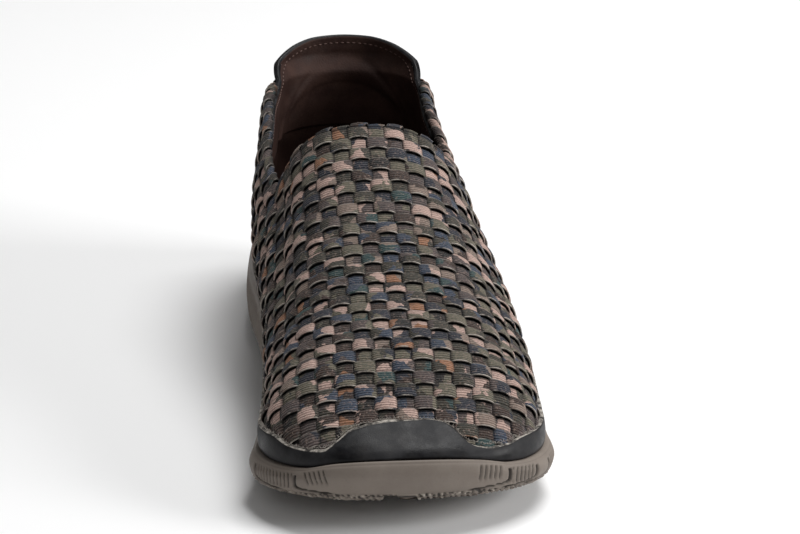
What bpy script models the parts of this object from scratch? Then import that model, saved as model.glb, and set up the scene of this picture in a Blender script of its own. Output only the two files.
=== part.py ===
"""Left woven slip-on sneaker: unit sole, insole, woven upper, leather rand and heel tab.

All sizes are in millimetres until a mesh is made. A station is the distance from the heel end
along the shoe. The toe points to -Y, the outer side of the foot to +X, and the floor is at Z = 0.
"""

import math

import bmesh
import bpy
import numpy as np

MM = 0.001
OBJECT_NAME = "woven_slip_on_sneaker"

# Driving sizes
SOLE_LENGTH = 296.0
UPPER_INSET = 5.5
TOE_TIP = SOLE_LENGTH - UPPER_INSET
SEAT_GAP = 0.3
SKIN_GAP = 0.6
THROAT_STATION = 141.0

# Plan of the sole: reach to the inner and outer side of the foot before the ends are rounded.
OUTLINE_COLUMNS = ("station", "inner", "outer")
OUTLINE_ROWS = (
    (0.0, 36.0, 38.0),
    (35.0, 36.8, 39.0),
    (75.0, 42.3, 39.5),
    (95.0, 44.0, 40.8),
    (120.0, 43.4, 43.0),
    (150.0, 43.3, 46.4),
    (185.0, 46.0, 49.6),
    (215.0, 49.4, 50.4),
    (245.0, 54.4, 50.2),
    (260.0, 58.6, 51.5),
    (275.0, 59.6, 51.2),
    (296.0, 59.5, 46.0),
)
HEEL_ROUND = 40.0
HEEL_ROUND_POWER = 2.2
TOE_ROUND = 58.0
TOE_ROUND_POWER = 2.5

# Side view of the sole: heel bevel, arch, toe spring, and the rim that the upper stands on.
SOLE_COLUMNS = ("station", "bottom", "rim")
SOLE_ROWS = (
    (0.0, 2.5, 34.5),
    (16.0, 0.0, 34.0),
    (50.0, 0.0, 32.5),
    (90.0, 0.0, 30.0),
    (128.0, 2.5, 27.5),
    (168.0, 0.0, 24.0),
    (206.0, 0.0, 20.8),
    (240.0, 3.3, 18.8),
    (262.0, 6.8, 18.6),
    (276.0, 9.2, 19.8),
    (284.0, 10.4, 21.6),
    (290.0, 11.3, 25.2),
    (296.0, 12.2, 28.4),
)

# Side wall of the sole: share of its height, how far it lies inside the plan, share of the relief.
WALL_COLUMNS = ("share", "inset", "relief")
WALL_ROWS = (
    (0.0, 6.0, 0.0),
    (0.2, 1.6, 0.8),
    (0.62, 0.0, 1.0),
    (1.0, 2.6, 0.0),
)

# Upper: ridge height over the rim, swell of each side, and where the ridge runs across.
UPPER_COLUMNS = ("station", "rise", "inner_swell", "outer_swell", "ridge_x")
UPPER_ROWS = (
    (0.0, 106.0, 0.02, 0.06, 4.0),
    (40.0, 112.0, 0.01, 0.05, -1.5),
    (80.0, 99.0, 0.02, 0.05, -8.0),
    (110.0, 90.0, 0.12, 0.05, -8.0),
    (142.0, 72.0, 0.18, 0.05, -4.0),
    (156.0, 65.2, 0.165, 0.065, -4.2),
    (176.0, 55.7, 0.125, 0.075, -4.5),
    (209.0, 43.7, 0.08, 0.07, -5.0),
    (240.0, 35.5, 0.04, 0.03, -6.0),
    (265.0, 27.0, 0.01, 0.0, -7.5),
    (292.0, 13.0, 0.0, 0.0, -9.0),
)
RIDGE_ROUND = 46.0
RIDGE_ROUND_POWER = 1.9
CROWN_FALL = 2.8
CROWN_POWER = 2.4
SWELL_REACH = 1.6

# Back of the upper in side view, and the top edge of the woven collar.
BACK_COLUMNS = ("height", "station")
BACK_ROWS = (
    (30.0, 7.5),
    (40.0, 6.0),
    (55.0, 5.5),
    (75.0, 8.0),
    (95.0, 11.0),
    (110.0, 12.0),
)
COLLAR_COLUMNS = ("station", "height")
COLLAR_ROWS = (
    (0.0, 84.0),
    (30.0, 84.5),
    (48.0, 87.5),
    (60.0, 90.3),
    (75.0, 88.5),
    (110.0, 80.5),
    (141.0, 78.0),
)

# Weave: pitch of the cross tapes, columns of long tapes in each half at the throat, and how many
# of them end at the throat's edge; height of the raised strips and the wall behind them. Behind the
# throat the long tapes spread evenly between seat and collar within a share of the way to the back.
ROW_PITCH = 5.5
HALF_COLUMNS = 14
THROAT_COLUMNS = 7
WALL = 1.6
CROSS_STRIP_RISE = 1.0
LONG_STRIP_RISE = 0.45
STRIP_HALF = 3.8
ROW_LEAN = 0.32
ROW_LEAN_REACH = 60.0
TIP_ROWS = (0.0, 0.5, 1.6, 3.2)
SHORTEST_CELL = 0.2
EVEN_REACH = 0.3

# Rand: thickness, and its height over the rim on each side by distance from the toe along the foot
# line of the upper.
RAND_THICKNESS = 1.6
RAND_COLUMNS = ("from_toe", "inner", "outer")
RAND_ROWS = (
    (0.0, 9.0, 9.0),
    (10.0, 8.9, 8.9),
    (18.5, 8.9, 8.6),
    (22.5, 7.4, 7.4),
    (26.5, 5.8, 5.0),
    (31.0, 5.8, 4.9),
    (40.0, 6.6, 5.6),
    (50.0, 8.6, 7.0),
    (62.0, 8.6, 7.2),
    (85.0, 7.8, 7.4),
    (130.0, 8.5, 8.5),
    (200.0, 9.0, 9.0),
    (260.0, 9.5, 9.5),
    (340.0, 10.0, 10.0),
)

# Heel tab: thickness, height at which it starts inside, and its top edge by distance from the back.
# Over the woven collar it leans out, to a little past the line of the upper's face; its sides run on
# inside the collar, a little under its edge.
TAB_THICKNESS = 2.2
TAB_FOOT = 62.0
TAB_COLUMNS = ("from_back", "top")
TAB_ROWS = (
    (0.0, 99.0),
    (12.0, 98.6),
    (23.0, 97.0),
    (32.0, 94.6),
    (38.0, 92.6),
    (44.0, 90.2),
    (50.0, 88.2),
    (57.0, 87.0),
    (68.0, 87.4),
    (80.0, 87.2),
    (92.0, 84.6),
    (104.0, 81.0),
)
TAB_CLEAR = 2.2
TAB_FLARE_RISE = 3.0
TAB_FLARE_MOST = 1.8

# Insole: thickness and how far its edge stays from the plan at the sides, heel and toe.
INSOLE_THICKNESS = 3.0
INSOLE_INSET = 8.2
INSOLE_HEEL = 10.2
INSOLE_TOE = 11.5

# Tread: cross grooves between the lugs, and a middle groove that bends to the inner side at the toe.
TREAD_DEPTH = 2.6
TREAD_WIDTH = 4.0
TREAD_STATIONS = (24.0, 46.0, 68.0, 178.0, 200.0, 222.0, 243.0, 262.0)
CENTRE_GROOVE_WIDTH = 5.0
CENTRE_BEND_START = 200.0
CENTRE_BEND = -5.75
CUTTER_REACH = 80.0

# Side relief: ribs, and the flex grooves of each side by distance from the toe along the plan.
RIB_DEPTH = 0.6
RIB_SPACING = 2.5
GROOVE_DEPTH = 1.6
TOE_BLOCK = 25.0
INNER_GROOVES = (38.4, 62.0, 78.0, 98.0, 124.0, 158.0, 200.0, 244.0, 288.0)
OUTER_GROOVES = (34.1, 47.4, 57.4, 76.0, 98.0, 124.0, 158.0, 200.0, 244.0, 288.0)
SOLE_END = 0.15

# Level lines of the thin pieces, as shares of their height.
RAND_LEVELS = (0.0, 0.22, 0.55, 1.0)
RAND_NEAR_STEP = 3.0
RAND_NEAR_REACH = 48.0
RAND_FAR_STEP = 7.5
TAB_LEVELS = (0.0, 0.35, 0.65, 0.85, 1.0)
TAB_STEP = 6.5
LEVEL_NORMAL_LIFT = 6.0
SIDES = (-1, 1)

# Fineness of the worked-out lines, and the reach of the search for the upper's face.
LINE_SAMPLES = 400
PLAN_SAMPLES = 1500
INSOLE_SECTIONS = 46
GROOVE_SECTIONS = 40
SEARCH_OUTSIDE = -12.0
SEARCH_INSIDE = 45.0
SEARCH_STEPS = 40
LEVEL_STEPS = 6
LEAST_HALF_SHARE = 0.5

PIECE_FINISHES = {
    "sole": ((0.21, 0.18, 0.16, 1.0), 0.7),
    "insole": ((0.05, 0.03, 0.025, 1.0), 0.8),
    "upper": ((0.10, 0.09, 0.07, 1.0), 0.85),
    "toe_rand": ((0.02, 0.02, 0.022, 1.0), 0.45),
    "heel_tab": ((0.03, 0.018, 0.014, 1.0), 0.5),
}


def table(names, rows):
    """Name the columns of a short table."""
    return dict(zip(names, np.array(rows).T))


OUTLINE = table(OUTLINE_COLUMNS, OUTLINE_ROWS)
SOLE = table(SOLE_COLUMNS, SOLE_ROWS)
SOLE_WALL = table(WALL_COLUMNS, WALL_ROWS)
UPPER = table(UPPER_COLUMNS, UPPER_ROWS)
BACK = table(BACK_COLUMNS, BACK_ROWS)
COLLAR = table(COLLAR_COLUMNS, COLLAR_ROWS)
RAND = table(RAND_COLUMNS, RAND_ROWS)
TAB = table(TAB_COLUMNS, TAB_ROWS)


def smooth(columns, key, name, at):
    """Read a column at any place, by cubic pieces that never overshoot the rows."""
    xs = columns[key]
    ys = columns[name]
    steps = np.diff(xs)
    rates = np.diff(ys) / steps
    slopes = np.concatenate([rates[:1], np.zeros(len(xs) - 2), rates[-1:]])
    before = rates[:-1]
    after = rates[1:]
    same_way = before * after > 0
    near = 2 * steps[1:] + steps[:-1]
    far = steps[1:] + 2 * steps[:-1]
    safe_before = np.where(same_way, before, 1.0)
    safe_after = np.where(same_way, after, 1.0)
    mean = (near + far) / (near / safe_before + far / safe_after)
    slopes[1:-1] = np.where(same_way, mean, 0.0)
    at = np.clip(np.asarray(at, float), xs[0], xs[-1])
    i = np.clip(np.searchsorted(xs, at) - 1, 0, len(xs) - 2)
    t = (at - xs[i]) / steps[i]
    start = (1 + 2 * t) * (1 - t) ** 2 * ys[i] + t * (1 - t) ** 2 * steps[i] * slopes[i]
    end = t * t * (3 - 2 * t) * ys[i + 1] + t * t * (t - 1) * steps[i] * slopes[i + 1]
    return start + end


def round_end(distance, size, power):
    """Share of full width at a distance from a rounded end."""
    left = np.clip(1 - np.asarray(distance, float) / size, 0, 1)
    return (1 - left**power) ** (1 / power)


def rim(station):
    return smooth(SOLE, "station", "rim", station)


def bottom(station):
    return smooth(SOLE, "station", "bottom", station)


def back(height):
    return smooth(BACK, "height", "station", height)


def collar_height(station):
    return smooth(COLLAR, "station", "height", station)


def outline_middle(station):
    """Middle line of the plan."""
    outer = smooth(OUTLINE, "station", "outer", station)
    return (outer - smooth(OUTLINE, "station", "inner", station)) / 2


def outline_half(station):
    """Half width of the plan before its ends are rounded."""
    outer = smooth(OUTLINE, "station", "outer", station)
    return (outer + smooth(OUTLINE, "station", "inner", station)) / 2


def plan_edge(station, side, inset, heel_start, toe_end):
    """Across position of the plan drawn in by an inset, between its two rounded ends."""
    half = outline_half(station) - inset
    half = half * round_end(station - heel_start, HEEL_ROUND - inset, HEEL_ROUND_POWER)
    half = half * round_end(toe_end - station, TOE_ROUND - inset, TOE_ROUND_POWER)
    return outline_middle(station) + side * half


def ridge(station):
    """Height of the upper's ridge line, which runs on over the opening as if it were closed."""
    rise = smooth(UPPER, "station", "rise", station)
    return rim(station) + rise * round_end(TOE_TIP - station, RIDGE_ROUND, RIDGE_ROUND_POWER)


def upper_x(station, height, side):
    """Across position of the upper's outer face on one side of the foot."""
    low = rim(station)
    share = np.clip((height - low) / np.maximum(ridge(station) - low, 1e-6), 0, 1)
    middle = outline_middle(station)
    half = plan_edge(station, 1, UPPER_INSET, back(height), TOE_TIP) - middle
    swell = smooth(UPPER, "station", "outer_swell" if side > 0 else "inner_swell", station)
    half = half * (1 + swell * np.sin(np.pi * np.clip(share * SWELL_REACH, 0, 1)))
    crown = (1 - share**CROWN_FALL) ** (1 / CROWN_POWER)
    top = smooth(UPPER, "station", "ridge_x", station)
    return middle + (top - middle) * share**2 + side * half * crown


def arc_length(points):
    """Distance along a row of points, from its first one."""
    steps = np.linalg.norm(np.diff(points, axis=0), axis=1)
    return np.concatenate([[0.0], np.cumsum(steps)])


def along(points, lengths, at):
    """Points at given distances along a row of points."""
    return np.stack([np.interp(at, lengths, column) for column in points.T], axis=-1)


def plan_middle_x():
    """Middle of the sole's box across the foot."""
    station = np.linspace(0, SOLE_LENGTH, PLAN_SAMPLES)
    outer = plan_edge(station, 1, 0.0, 0.0, SOLE_LENGTH).max()
    inner = plan_edge(station, -1, 0.0, 0.0, SOLE_LENGTH).min()
    return (outer + inner) / 2


X_MIDDLE = plan_middle_x()


def to_frame(points):
    """Shoe coordinates (across, station, height) to the part's frame, still in millimetres."""
    points = np.asarray(points, float)
    y = SOLE_LENGTH / 2 - points[..., 1]
    return np.stack([points[..., 0] - X_MIDDLE, y, points[..., 2]], axis=-1)


def unit(vectors):
    return vectors / np.maximum(np.linalg.norm(vectors, axis=-1, keepdims=True), 1e-9)


def laid_level(normals, lift):
    """Lay directions level near the seat, so that a wall's foot stays over the sole's top."""
    share = np.clip(np.asarray(lift) / LEVEL_NORMAL_LIFT, 0, 1)
    level = np.array(normals, float)
    level[..., 2] *= share
    return unit(level)


def over_sole(points):
    """Raise points of the part's frame that would dip into the sole's top."""
    raised = np.array(points, float)
    floor = rim(SOLE_LENGTH / 2 - raised[..., 1]) + SEAT_GAP
    raised[..., 2] = np.maximum(raised[..., 2], floor)
    return raised


def ridge_line():
    """The ridge from toe tip to throat as points, with its running length."""
    station = TOE_TIP - (TOE_TIP - THROAT_STATION) * np.linspace(0, 1, LINE_SAMPLES) ** 2
    height = np.maximum(ridge(station), rim(station) + SEAT_GAP)
    points = np.stack([upper_x(station, height, 1), station, height], axis=-1)
    return points, arc_length(points)


def leaning_station(start, drop):
    """Station of a cross row at a drop below the ridge: the row leans back as it goes down."""
    return start[1] - ROW_LEAN * ROW_LEAN_REACH * (1 - np.exp(-drop / ROW_LEAN_REACH))


def cross_row(start, side):
    """One cross row of the weave on one side, from the ridge down to the seat, with its length."""
    drop = np.linspace(0, 1, LINE_SAMPLES) ** 2 * (start[2] - rim(start[1]) + LEVEL_NORMAL_LIFT)
    clear = start[2] - drop - rim(leaning_station(start, drop)) - SEAT_GAP
    last = np.interp(0, -clear, drop)
    drop = np.append(drop[drop < last], last)
    station = leaning_station(start, drop)
    height = start[2] - drop
    points = np.stack([upper_x(station, height, side), station, height], axis=-1)
    points[0] = start
    return points, arc_length(points)


def vamp_rows():
    """Cross rows over the front of the foot, from toe tip to throat, each with both its sides."""
    line, length = ridge_line()
    count = round(length[-1] / ROW_PITCH)
    places = list(TIP_ROWS) + [length[-1] * k / count for k in range(1, count + 1)]
    return [
        {side: cross_row(along(line, length, place), side) for side in SIDES}
        for place in places
    ]


def level_line(height, throat_station, side):
    """Level line of the upper at a height, from the back to the throat, with its length."""
    first = back(height)
    station = first + (throat_station - first) * np.linspace(0, 1, LINE_SAMPLES) ** 2
    level = np.full_like(station, height)
    points = np.stack([upper_x(station, level, side), station, level], axis=-1)
    return points, arc_length(points)


def quarter_point(throat, to_back, up, side):
    """Point of the quarter by its share of the way round to the back and of the way up."""
    station = throat[1] * (1 - to_back)
    for _ in range(LEVEL_STEPS):
        low = rim(station) + SEAT_GAP
        height = low + (collar_height(station) - low) * up
        points, lengths = level_line(height, throat[1], side)
        point = along(points, lengths, lengths[-1] * (1 - to_back))
        station = point[1]
    return point


class WeaveLattice:
    """Corners and cells of the woven upper, row by row from the toe to the back of the heel."""

    def __init__(self):
        self.rows = vamp_rows()
        self.last = len(self.rows) - 1
        self.pitch = {side: self.rows[-1][side][1][-1] / HALF_COLUMNS for side in SIDES}
        self.corners = {}
        self.cells = []
        self.add_vamp()
        self.add_quarters()

    def vamp_corner(self, row, column):
        """Key of a corner; columns that the seat cuts off share the corner on the seat."""
        side = 1 if column >= 0 else -1
        points, lengths = self.rows[row][side]
        pitch = self.pitch[side]
        whole = math.ceil(lengths[-1] / pitch - SHORTEST_CELL)
        number = min(abs(column), whole)
        key = ("vamp", row, side * number)
        place = lengths[-1] if number == whole else number * pitch
        self.corners[key] = along(points, lengths, place)
        return key

    def quarter_corner(self, side, row, column):
        """Key of a corner behind the throat; the two sides share the corners at the back."""
        throat = self.corners[("vamp", self.last, side * column)]
        if row == 0:
            return ("vamp", self.last, side * column)
        low = rim(throat[1]) + SEAT_GAP
        up = (throat[2] - low) / (collar_height(throat[1]) - low)
        even = (HALF_COLUMNS - column) / (HALF_COLUMNS - THROAT_COLUMNS)
        to_back = row / self.quarter_rows
        up += (even - up) * min(1.0, to_back / EVEN_REACH)
        point = quarter_point(throat, to_back, up, side)
        if row < self.quarter_rows:
            key = ("quarter", side * column, row)
        else:
            key = ("back", column, row)
            point = (point + self.corners.get(key, point)) / 2
        self.corners[key] = point
        return key

    def add_cell(self, keys, row, column):
        """Keep a cell with its corners in order; a cell with fewer than three is none."""
        kept = [key for i, key in enumerate(keys) if key != keys[i - 1]]
        if len(kept) > 2:
            self.cells.append((kept, (row + column) % 2 == 0))

    def add_vamp(self):
        for row in range(self.last):
            for column in range(-HALF_COLUMNS, HALF_COLUMNS):
                keys = [
                    self.vamp_corner(row, column),
                    self.vamp_corner(row, column + 1),
                    self.vamp_corner(row + 1, column + 1),
                    self.vamp_corner(row + 1, column),
                ]
                self.add_cell(keys, row, column)

    def add_quarters(self):
        middle = self.corners[("vamp", self.last, (THROAT_COLUMNS + HALF_COLUMNS) // 2)]
        self.quarter_rows = round(level_line(middle[2], middle[1], 1)[1][-1] / ROW_PITCH)
        for side in SIDES:
            for row in range(self.quarter_rows):
                for column in range(THROAT_COLUMNS, HALF_COLUMNS):
                    low, high = (column, column + 1) if side > 0 else (column + 1, column)
                    keys = [
                        self.quarter_corner(side, row, low),
                        self.quarter_corner(side, row, high),
                        self.quarter_corner(side, row + 1, high),
                        self.quarter_corner(side, row + 1, low),
                    ]
                    self.add_cell(keys, self.last + row, column if side > 0 else -column - 1)


class SeatLine:
    """The upper's foot line on the sole: a loop from the toe round the outer side and back."""

    def __init__(self):
        share = (1 - np.cos(np.pi * np.linspace(0, 1, LINE_SAMPLES))) / 2
        first = back(rim(0) + SEAT_GAP)
        station = first + (TOE_TIP - first) * share
        height = rim(station) + SEAT_GAP
        outer = np.stack([upper_x(station, height, 1), station, height], axis=-1)[::-1]
        inner = np.stack([upper_x(station, height, -1), station, height], axis=-1)
        self.points = np.concatenate([outer, inner[1:]])
        self.lengths = arc_length(self.points)
        self.total = self.lengths[-1]
        self.to_back = self.lengths[len(outer) - 1]

    def at(self, distance):
        return along(self.points, self.lengths, np.mod(distance, self.total))

    def inward(self, distance):
        """Level direction into the shoe."""
        step = self.at(distance + 1.0) - self.at(distance - 1.0)
        return unit(np.stack([-step[..., 1], step[..., 0], 0 * step[..., 0]], axis=-1) * -1)

    def from_toe(self, distance):
        """Shorter way round to the toe."""
        distance = np.mod(distance, self.total)
        return np.minimum(distance, self.total - distance)

    def nearest(self, point):
        gap = np.linalg.norm(self.points[:, :2] - point[:2], axis=1)
        return self.lengths[np.argmin(gap)]

    def wall(self, distance, height):
        """Point of the upper's outer face over a place of the line, at a height."""
        start = self.at(distance)
        inward = self.inward(distance)
        outside = np.full(np.shape(height), SEARCH_OUTSIDE)
        inside = np.full(np.shape(height), SEARCH_INSIDE)
        for _ in range(SEARCH_STEPS):
            middle = (outside + inside) / 2
            x = start[..., 0] + inward[..., 0] * middle
            station = start[..., 1] + inward[..., 1] * middle
            room = np.minimum(upper_x(station, height, 1) - x, x - upper_x(station, height, -1))
            outside = np.where(room > 0, outside, middle)
            inside = np.where(room > 0, middle, inside)
        return np.stack([x, station, height], axis=-1)


def rand_top(seat, distance):
    """Height of the rand's top edge at a place of the seat line."""
    from_toe = seat.from_toe(distance)
    on_outer = np.mod(distance, seat.total) < seat.to_back
    outer = smooth(RAND, "from_toe", "outer", from_toe)
    inner = smooth(RAND, "from_toe", "inner", from_toe)
    return seat.at(distance)[..., 2] + np.where(on_outer, outer, inner)


def grid_normals(grid, closed):
    """Outward directions of a grid of points, whose rows go round and columns go up."""
    if closed:
        round_step = np.roll(grid, -1, axis=0) - np.roll(grid, 1, axis=0)
    else:
        round_step = np.gradient(grid, axis=0)
    up_step = np.gradient(grid, axis=1)
    normals = unit(np.cross(round_step, up_step))
    away = np.sum(normals[..., :2] * (grid[..., :2] - grid[..., :2].mean(axis=(0, 1))))
    return normals if away > 0 else -normals


def solid_from_grids(near, far, closed):
    """Points and faces of the solid between two matching grids."""
    rows, columns = near.shape[:2]
    points = np.concatenate([near.reshape(-1, 3), far.reshape(-1, 3)])
    half = rows * columns
    faces = []
    last = rows if closed else rows - 1
    for i in range(last):
        j = (i + 1) % rows
        for k in range(columns - 1):
            quad = [i * columns + k, j * columns + k, j * columns + k + 1, i * columns + k + 1]
            faces.append(quad)
            faces.append([half + corner for corner in reversed(quad)])
        for k in (0, columns - 1):
            edge = [i * columns + k, j * columns + k]
            faces.append([edge[0], edge[1], half + edge[1], half + edge[0]])
    if not closed:
        for i in (0, rows - 1):
            for k in range(columns - 1):
                edge = [i * columns + k, i * columns + k + 1]
                faces.append([edge[0], edge[1], half + edge[1], half + edge[0]])
    return points, faces


def upper_solid(seat):
    """The woven wall: raised strips outside, smooth inside, open at the collar and underneath."""
    lattice = WeaveLattice()
    keys = list(lattice.corners)
    number = {key: i for i, key in enumerate(keys)}
    shoe_points = np.array([lattice.corners[key] for key in keys])
    outer = to_frame(shoe_points)
    normals = np.zeros_like(outer)
    for cell, _ in lattice.cells:
        index = [number[key] for key in cell]
        corners = outer[index]
        area = np.cross(corners[2] - corners[0], corners[-1] - corners[1])
        normals[index] += area
    lift = shoe_points[:, 2] - rim(shoe_points[:, 1]) - SEAT_GAP
    inner = over_sole(outer - WALL * laid_level(unit(normals), lift))
    points = [*outer, *inner]
    faces = []
    edges = set()
    for cell, crosses in lattice.cells:
        index = [number[key] for key in cell]
        faces.append([len(outer) + i for i in reversed(index)])
        edges.update(zip(index, index[1:] + index[:1]))
        middle = shoe_points[index].mean(axis=0)
        over = middle[2] - rand_top(seat, seat.nearest(middle))
        rise = CROSS_STRIP_RISE if crosses else LONG_STRIP_RISE
        if over < STRIP_HALF or len(index) < 4:
            faces.append(index)
            continue
        normal = unit(normals[index].sum(axis=0))
        points.append(outer[index].mean(axis=0) + rise * normal)
        top = len(points) - 1
        faces.extend([a, b, top] for a, b in zip(index, index[1:] + index[:1]))
    for a, b in edges:
        if (b, a) not in edges:
            faces.append([b, a, len(outer) + a, len(outer) + b])
    return np.array(points), faces


def rand_solid(seat):
    """The leather rand: a band round the upper's foot with a scalloped cap at the toe."""
    half = seat.total / 2
    near = np.arange(0, RAND_NEAR_REACH, RAND_NEAR_STEP)
    far = np.linspace(RAND_NEAR_REACH, half, round((half - RAND_NEAR_REACH) / RAND_FAR_STEP))
    outer_side = np.concatenate([near, far])
    distance = np.concatenate([outer_side, seat.total - outer_side[-2:0:-1]])[:, None]
    levels = np.array(RAND_LEVELS)[None, :]
    foot = seat.at(distance)[..., 2]
    height = foot + (rand_top(seat, distance) - foot) * levels
    distance = np.broadcast_to(distance, height.shape)
    grid = to_frame(seat.wall(distance, height))
    normals = laid_level(grid_normals(grid, True), height - foot)
    near_face = over_sole(grid + SKIN_GAP * normals)
    far_face = over_sole(grid + (SKIN_GAP + RAND_THICKNESS) * normals)
    return solid_from_grids(near_face, far_face, True)


def tab_solid(seat):
    """The heel tab: a leather lining piece seated inside the collar and rising over it."""
    reach = TAB["from_back"][-1]
    offset = np.linspace(-reach, reach, 2 * round(reach / TAB_STEP) + 1)[:, None]
    levels = np.array(TAB_LEVELS)[None, :]
    top = smooth(TAB, "from_back", "top", np.abs(offset))
    height = TAB_FOOT + (top - TAB_FOOT) * levels
    distance = np.broadcast_to(seat.to_back + offset, height.shape)
    wall = seat.wall(distance, height)
    grid = to_frame(wall)
    normals = grid_normals(grid, False)
    over = height - collar_height(wall[..., 1])
    lean = np.clip((over - TAB_CLEAR) / TAB_FLARE_RISE, 0, TAB_FLARE_MOST)[..., None]
    near_face = grid - (WALL + SKIN_GAP) * (1 - lean) * normals
    far_face = near_face - TAB_THICKNESS * normals
    return solid_from_grids(near_face, far_face, False)


def insole_solid():
    """The foot bed: a thin plate on the sole's top inside the upper."""
    first = INSOLE_HEEL + SOLE_END
    last = SOLE_LENGTH - INSOLE_TOE - SOLE_END
    share = (1 - np.cos(np.pi * np.linspace(0, 1, INSOLE_SECTIONS))) / 2
    station = first + (last - first) * share
    sides = [
        plan_edge(station, side, INSOLE_INSET, INSOLE_HEEL, SOLE_LENGTH - INSOLE_TOE)
        for side in SIDES
    ]
    low = rim(station) + SEAT_GAP
    faces_low = np.stack([np.stack([x, station, low], axis=-1) for x in sides], axis=1)
    faces_high = faces_low + np.array([0.0, 0.0, INSOLE_THICKNESS])
    return solid_from_grids(to_frame(faces_low), to_frame(faces_high), False)


def side_relief(from_toe, index, side):
    """Depth of the ribs and flex grooves at each place of one side of the sole."""
    ribs = np.where((index % 2 == 0) & (from_toe > TOE_BLOCK), RIB_DEPTH, 0.0)
    for place in OUTER_GROOVES if side > 0 else INNER_GROOVES:
        ribs[np.argmin(np.abs(from_toe - place))] = GROOVE_DEPTH
    return ribs


def sole_solid():
    """The unit sole: side wall with ribs and grooves between a ruled top and bottom."""
    share = (1 - np.cos(np.pi * np.linspace(0, 1, PLAN_SAMPLES))) / 2
    station = SOLE_END + (SOLE_LENGTH - 2 * SOLE_END) * share
    lengths = np.zeros_like(station)
    for side in SIDES:
        x = plan_edge(station, side, 0.0, 0.0, SOLE_LENGTH)
        lengths += arc_length(np.stack([x, station], axis=-1)) / 2
    count = round(lengths[-1] / RIB_SPACING)
    place = np.linspace(0, lengths[-1], count + 1)
    share = (np.interp(place, lengths, station) - SOLE_END) / (SOLE_LENGTH - 2 * SOLE_END)
    from_toe = lengths[-1] - place
    relief = {side: side_relief(from_toe, np.arange(count + 1), side) for side in SIDES}
    rings = []
    for level, inset, part in zip(*(SOLE_WALL[name] for name in WALL_COLUMNS)):
        first = inset + SOLE_END
        at = first + (SOLE_LENGTH - 2 * first) * share
        z = bottom(at) + (rim(at) - bottom(at)) * level
        edges = []
        for side in SIDES:
            x = plan_edge(at, side, inset, inset, SOLE_LENGTH - inset)
            middle = outline_middle(at)
            room = np.abs(x - middle)
            x = middle + side * np.maximum(room - relief[side] * part, room * LEAST_HALF_SHARE)
            edges.append(np.stack([x, at, z], axis=-1))
        rings.append(np.stack(edges, axis=1))
    grid = to_frame(np.stack(rings, axis=1))
    return solid_from_grids(grid[:, :, 0], grid[:, :, 1], False)


def groove_path_solid():
    """Cutter of the groove along the middle of the tread, which follows the toe spring."""
    station = np.linspace(-TREAD_WIDTH, SOLE_LENGTH + TREAD_WIDTH, GROOVE_SECTIONS)
    bend = np.clip((station - CENTRE_BEND_START) / (SOLE_LENGTH - CENTRE_BEND_START), 0, 1)
    x = outline_middle(station) + CENTRE_BEND * bend
    low = bottom(station) - TREAD_DEPTH
    high = bottom(station) + TREAD_DEPTH
    half = CENTRE_GROOVE_WIDTH / 2
    near = np.stack([np.stack([x - half, station, z], axis=-1) for z in (low, high)], axis=1)
    far = near + np.array([CENTRE_GROOVE_WIDTH, 0.0, 0.0])
    return solid_from_grids(to_frame(near), to_frame(far), False)


def make_object(name, solid, collection):
    """Mesh object of a solid given in millimetres, with its faces turned outwards."""
    points, faces = solid
    mesh = bpy.data.meshes.new(name)
    mesh.from_pydata((points * MM).tolist(), [], faces)
    shape = bmesh.new()
    shape.from_mesh(mesh)
    bmesh.ops.recalc_face_normals(shape, faces=shape.faces)
    shape.to_mesh(mesh)
    shape.free()
    piece = bpy.data.objects.new(name, mesh)
    collection.objects.link(piece)
    return piece


def make_cross_grooves(collection):
    """Cutter of the cross grooves: one block for each, joined into one mesh."""
    shape = bmesh.new()
    for station in TREAD_STATIONS:
        middle = to_frame(np.array([0.0, station, float(bottom(station))])) * MM
        block = bmesh.ops.create_cube(shape, size=1.0)["verts"]
        size = (2 * CUTTER_REACH * MM, TREAD_WIDTH * MM, 2 * TREAD_DEPTH * MM)
        bmesh.ops.scale(shape, verts=block, vec=size)
        bmesh.ops.translate(shape, verts=block, vec=middle)
    mesh = bpy.data.meshes.new("cross_grooves")
    shape.to_mesh(mesh)
    shape.free()
    cutter = bpy.data.objects.new("cross_grooves", mesh)
    collection.objects.link(cutter)
    return cutter


def cut(piece, cutter):
    """Cut one shape out of a piece."""
    cutter.hide_render = True
    cutter.display_type = "WIRE"
    change = piece.modifiers.new("cut_" + cutter.name, "BOOLEAN")
    change.operation = "DIFFERENCE"
    change.solver = "EXACT"
    change.object = cutter


def give_material(piece):
    """One plain finish for each piece."""
    colour, roughness = PIECE_FINISHES[piece.name]
    material = bpy.data.materials.new(piece.name)
    material.use_nodes = True
    finish = material.node_tree.nodes["Principled BSDF"]
    finish.inputs["Base Color"].default_value = colour
    finish.inputs["Roughness"].default_value = roughness
    finish.inputs["Metallic"].default_value = 0.0
    piece.data.materials.append(material)


def new_collection(name):
    collection = bpy.data.collections.new(name)
    bpy.context.scene.collection.children.link(collection)
    return collection


def main():
    for thing in list(bpy.data.objects):
        bpy.data.objects.remove(thing, do_unlink=True)
    pieces = new_collection(OBJECT_NAME)
    cutters = new_collection("cutters")
    cutters.hide_render = True
    seat = SeatLine()
    sole = make_object("sole", sole_solid(), pieces)
    cut(sole, make_cross_grooves(cutters))
    cut(sole, make_object("centre_groove", groove_path_solid(), cutters))
    make_object("insole", insole_solid(), pieces)
    make_object("upper", upper_solid(seat), pieces)
    make_object("toe_rand", rand_solid(seat), pieces)
    make_object("heel_tab", tab_solid(seat), pieces)
    for piece in pieces.objects:
        give_material(piece)


main()
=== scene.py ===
"""Looks of a left woven slip-on sneaker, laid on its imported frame.

Shoe lengths are in millimetres until a mesh is made. A station is the distance from the heel end
along the shoe. The toe points to -Y, the outer side of the foot to +X, and the floor is at Z = 0.
"""

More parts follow.
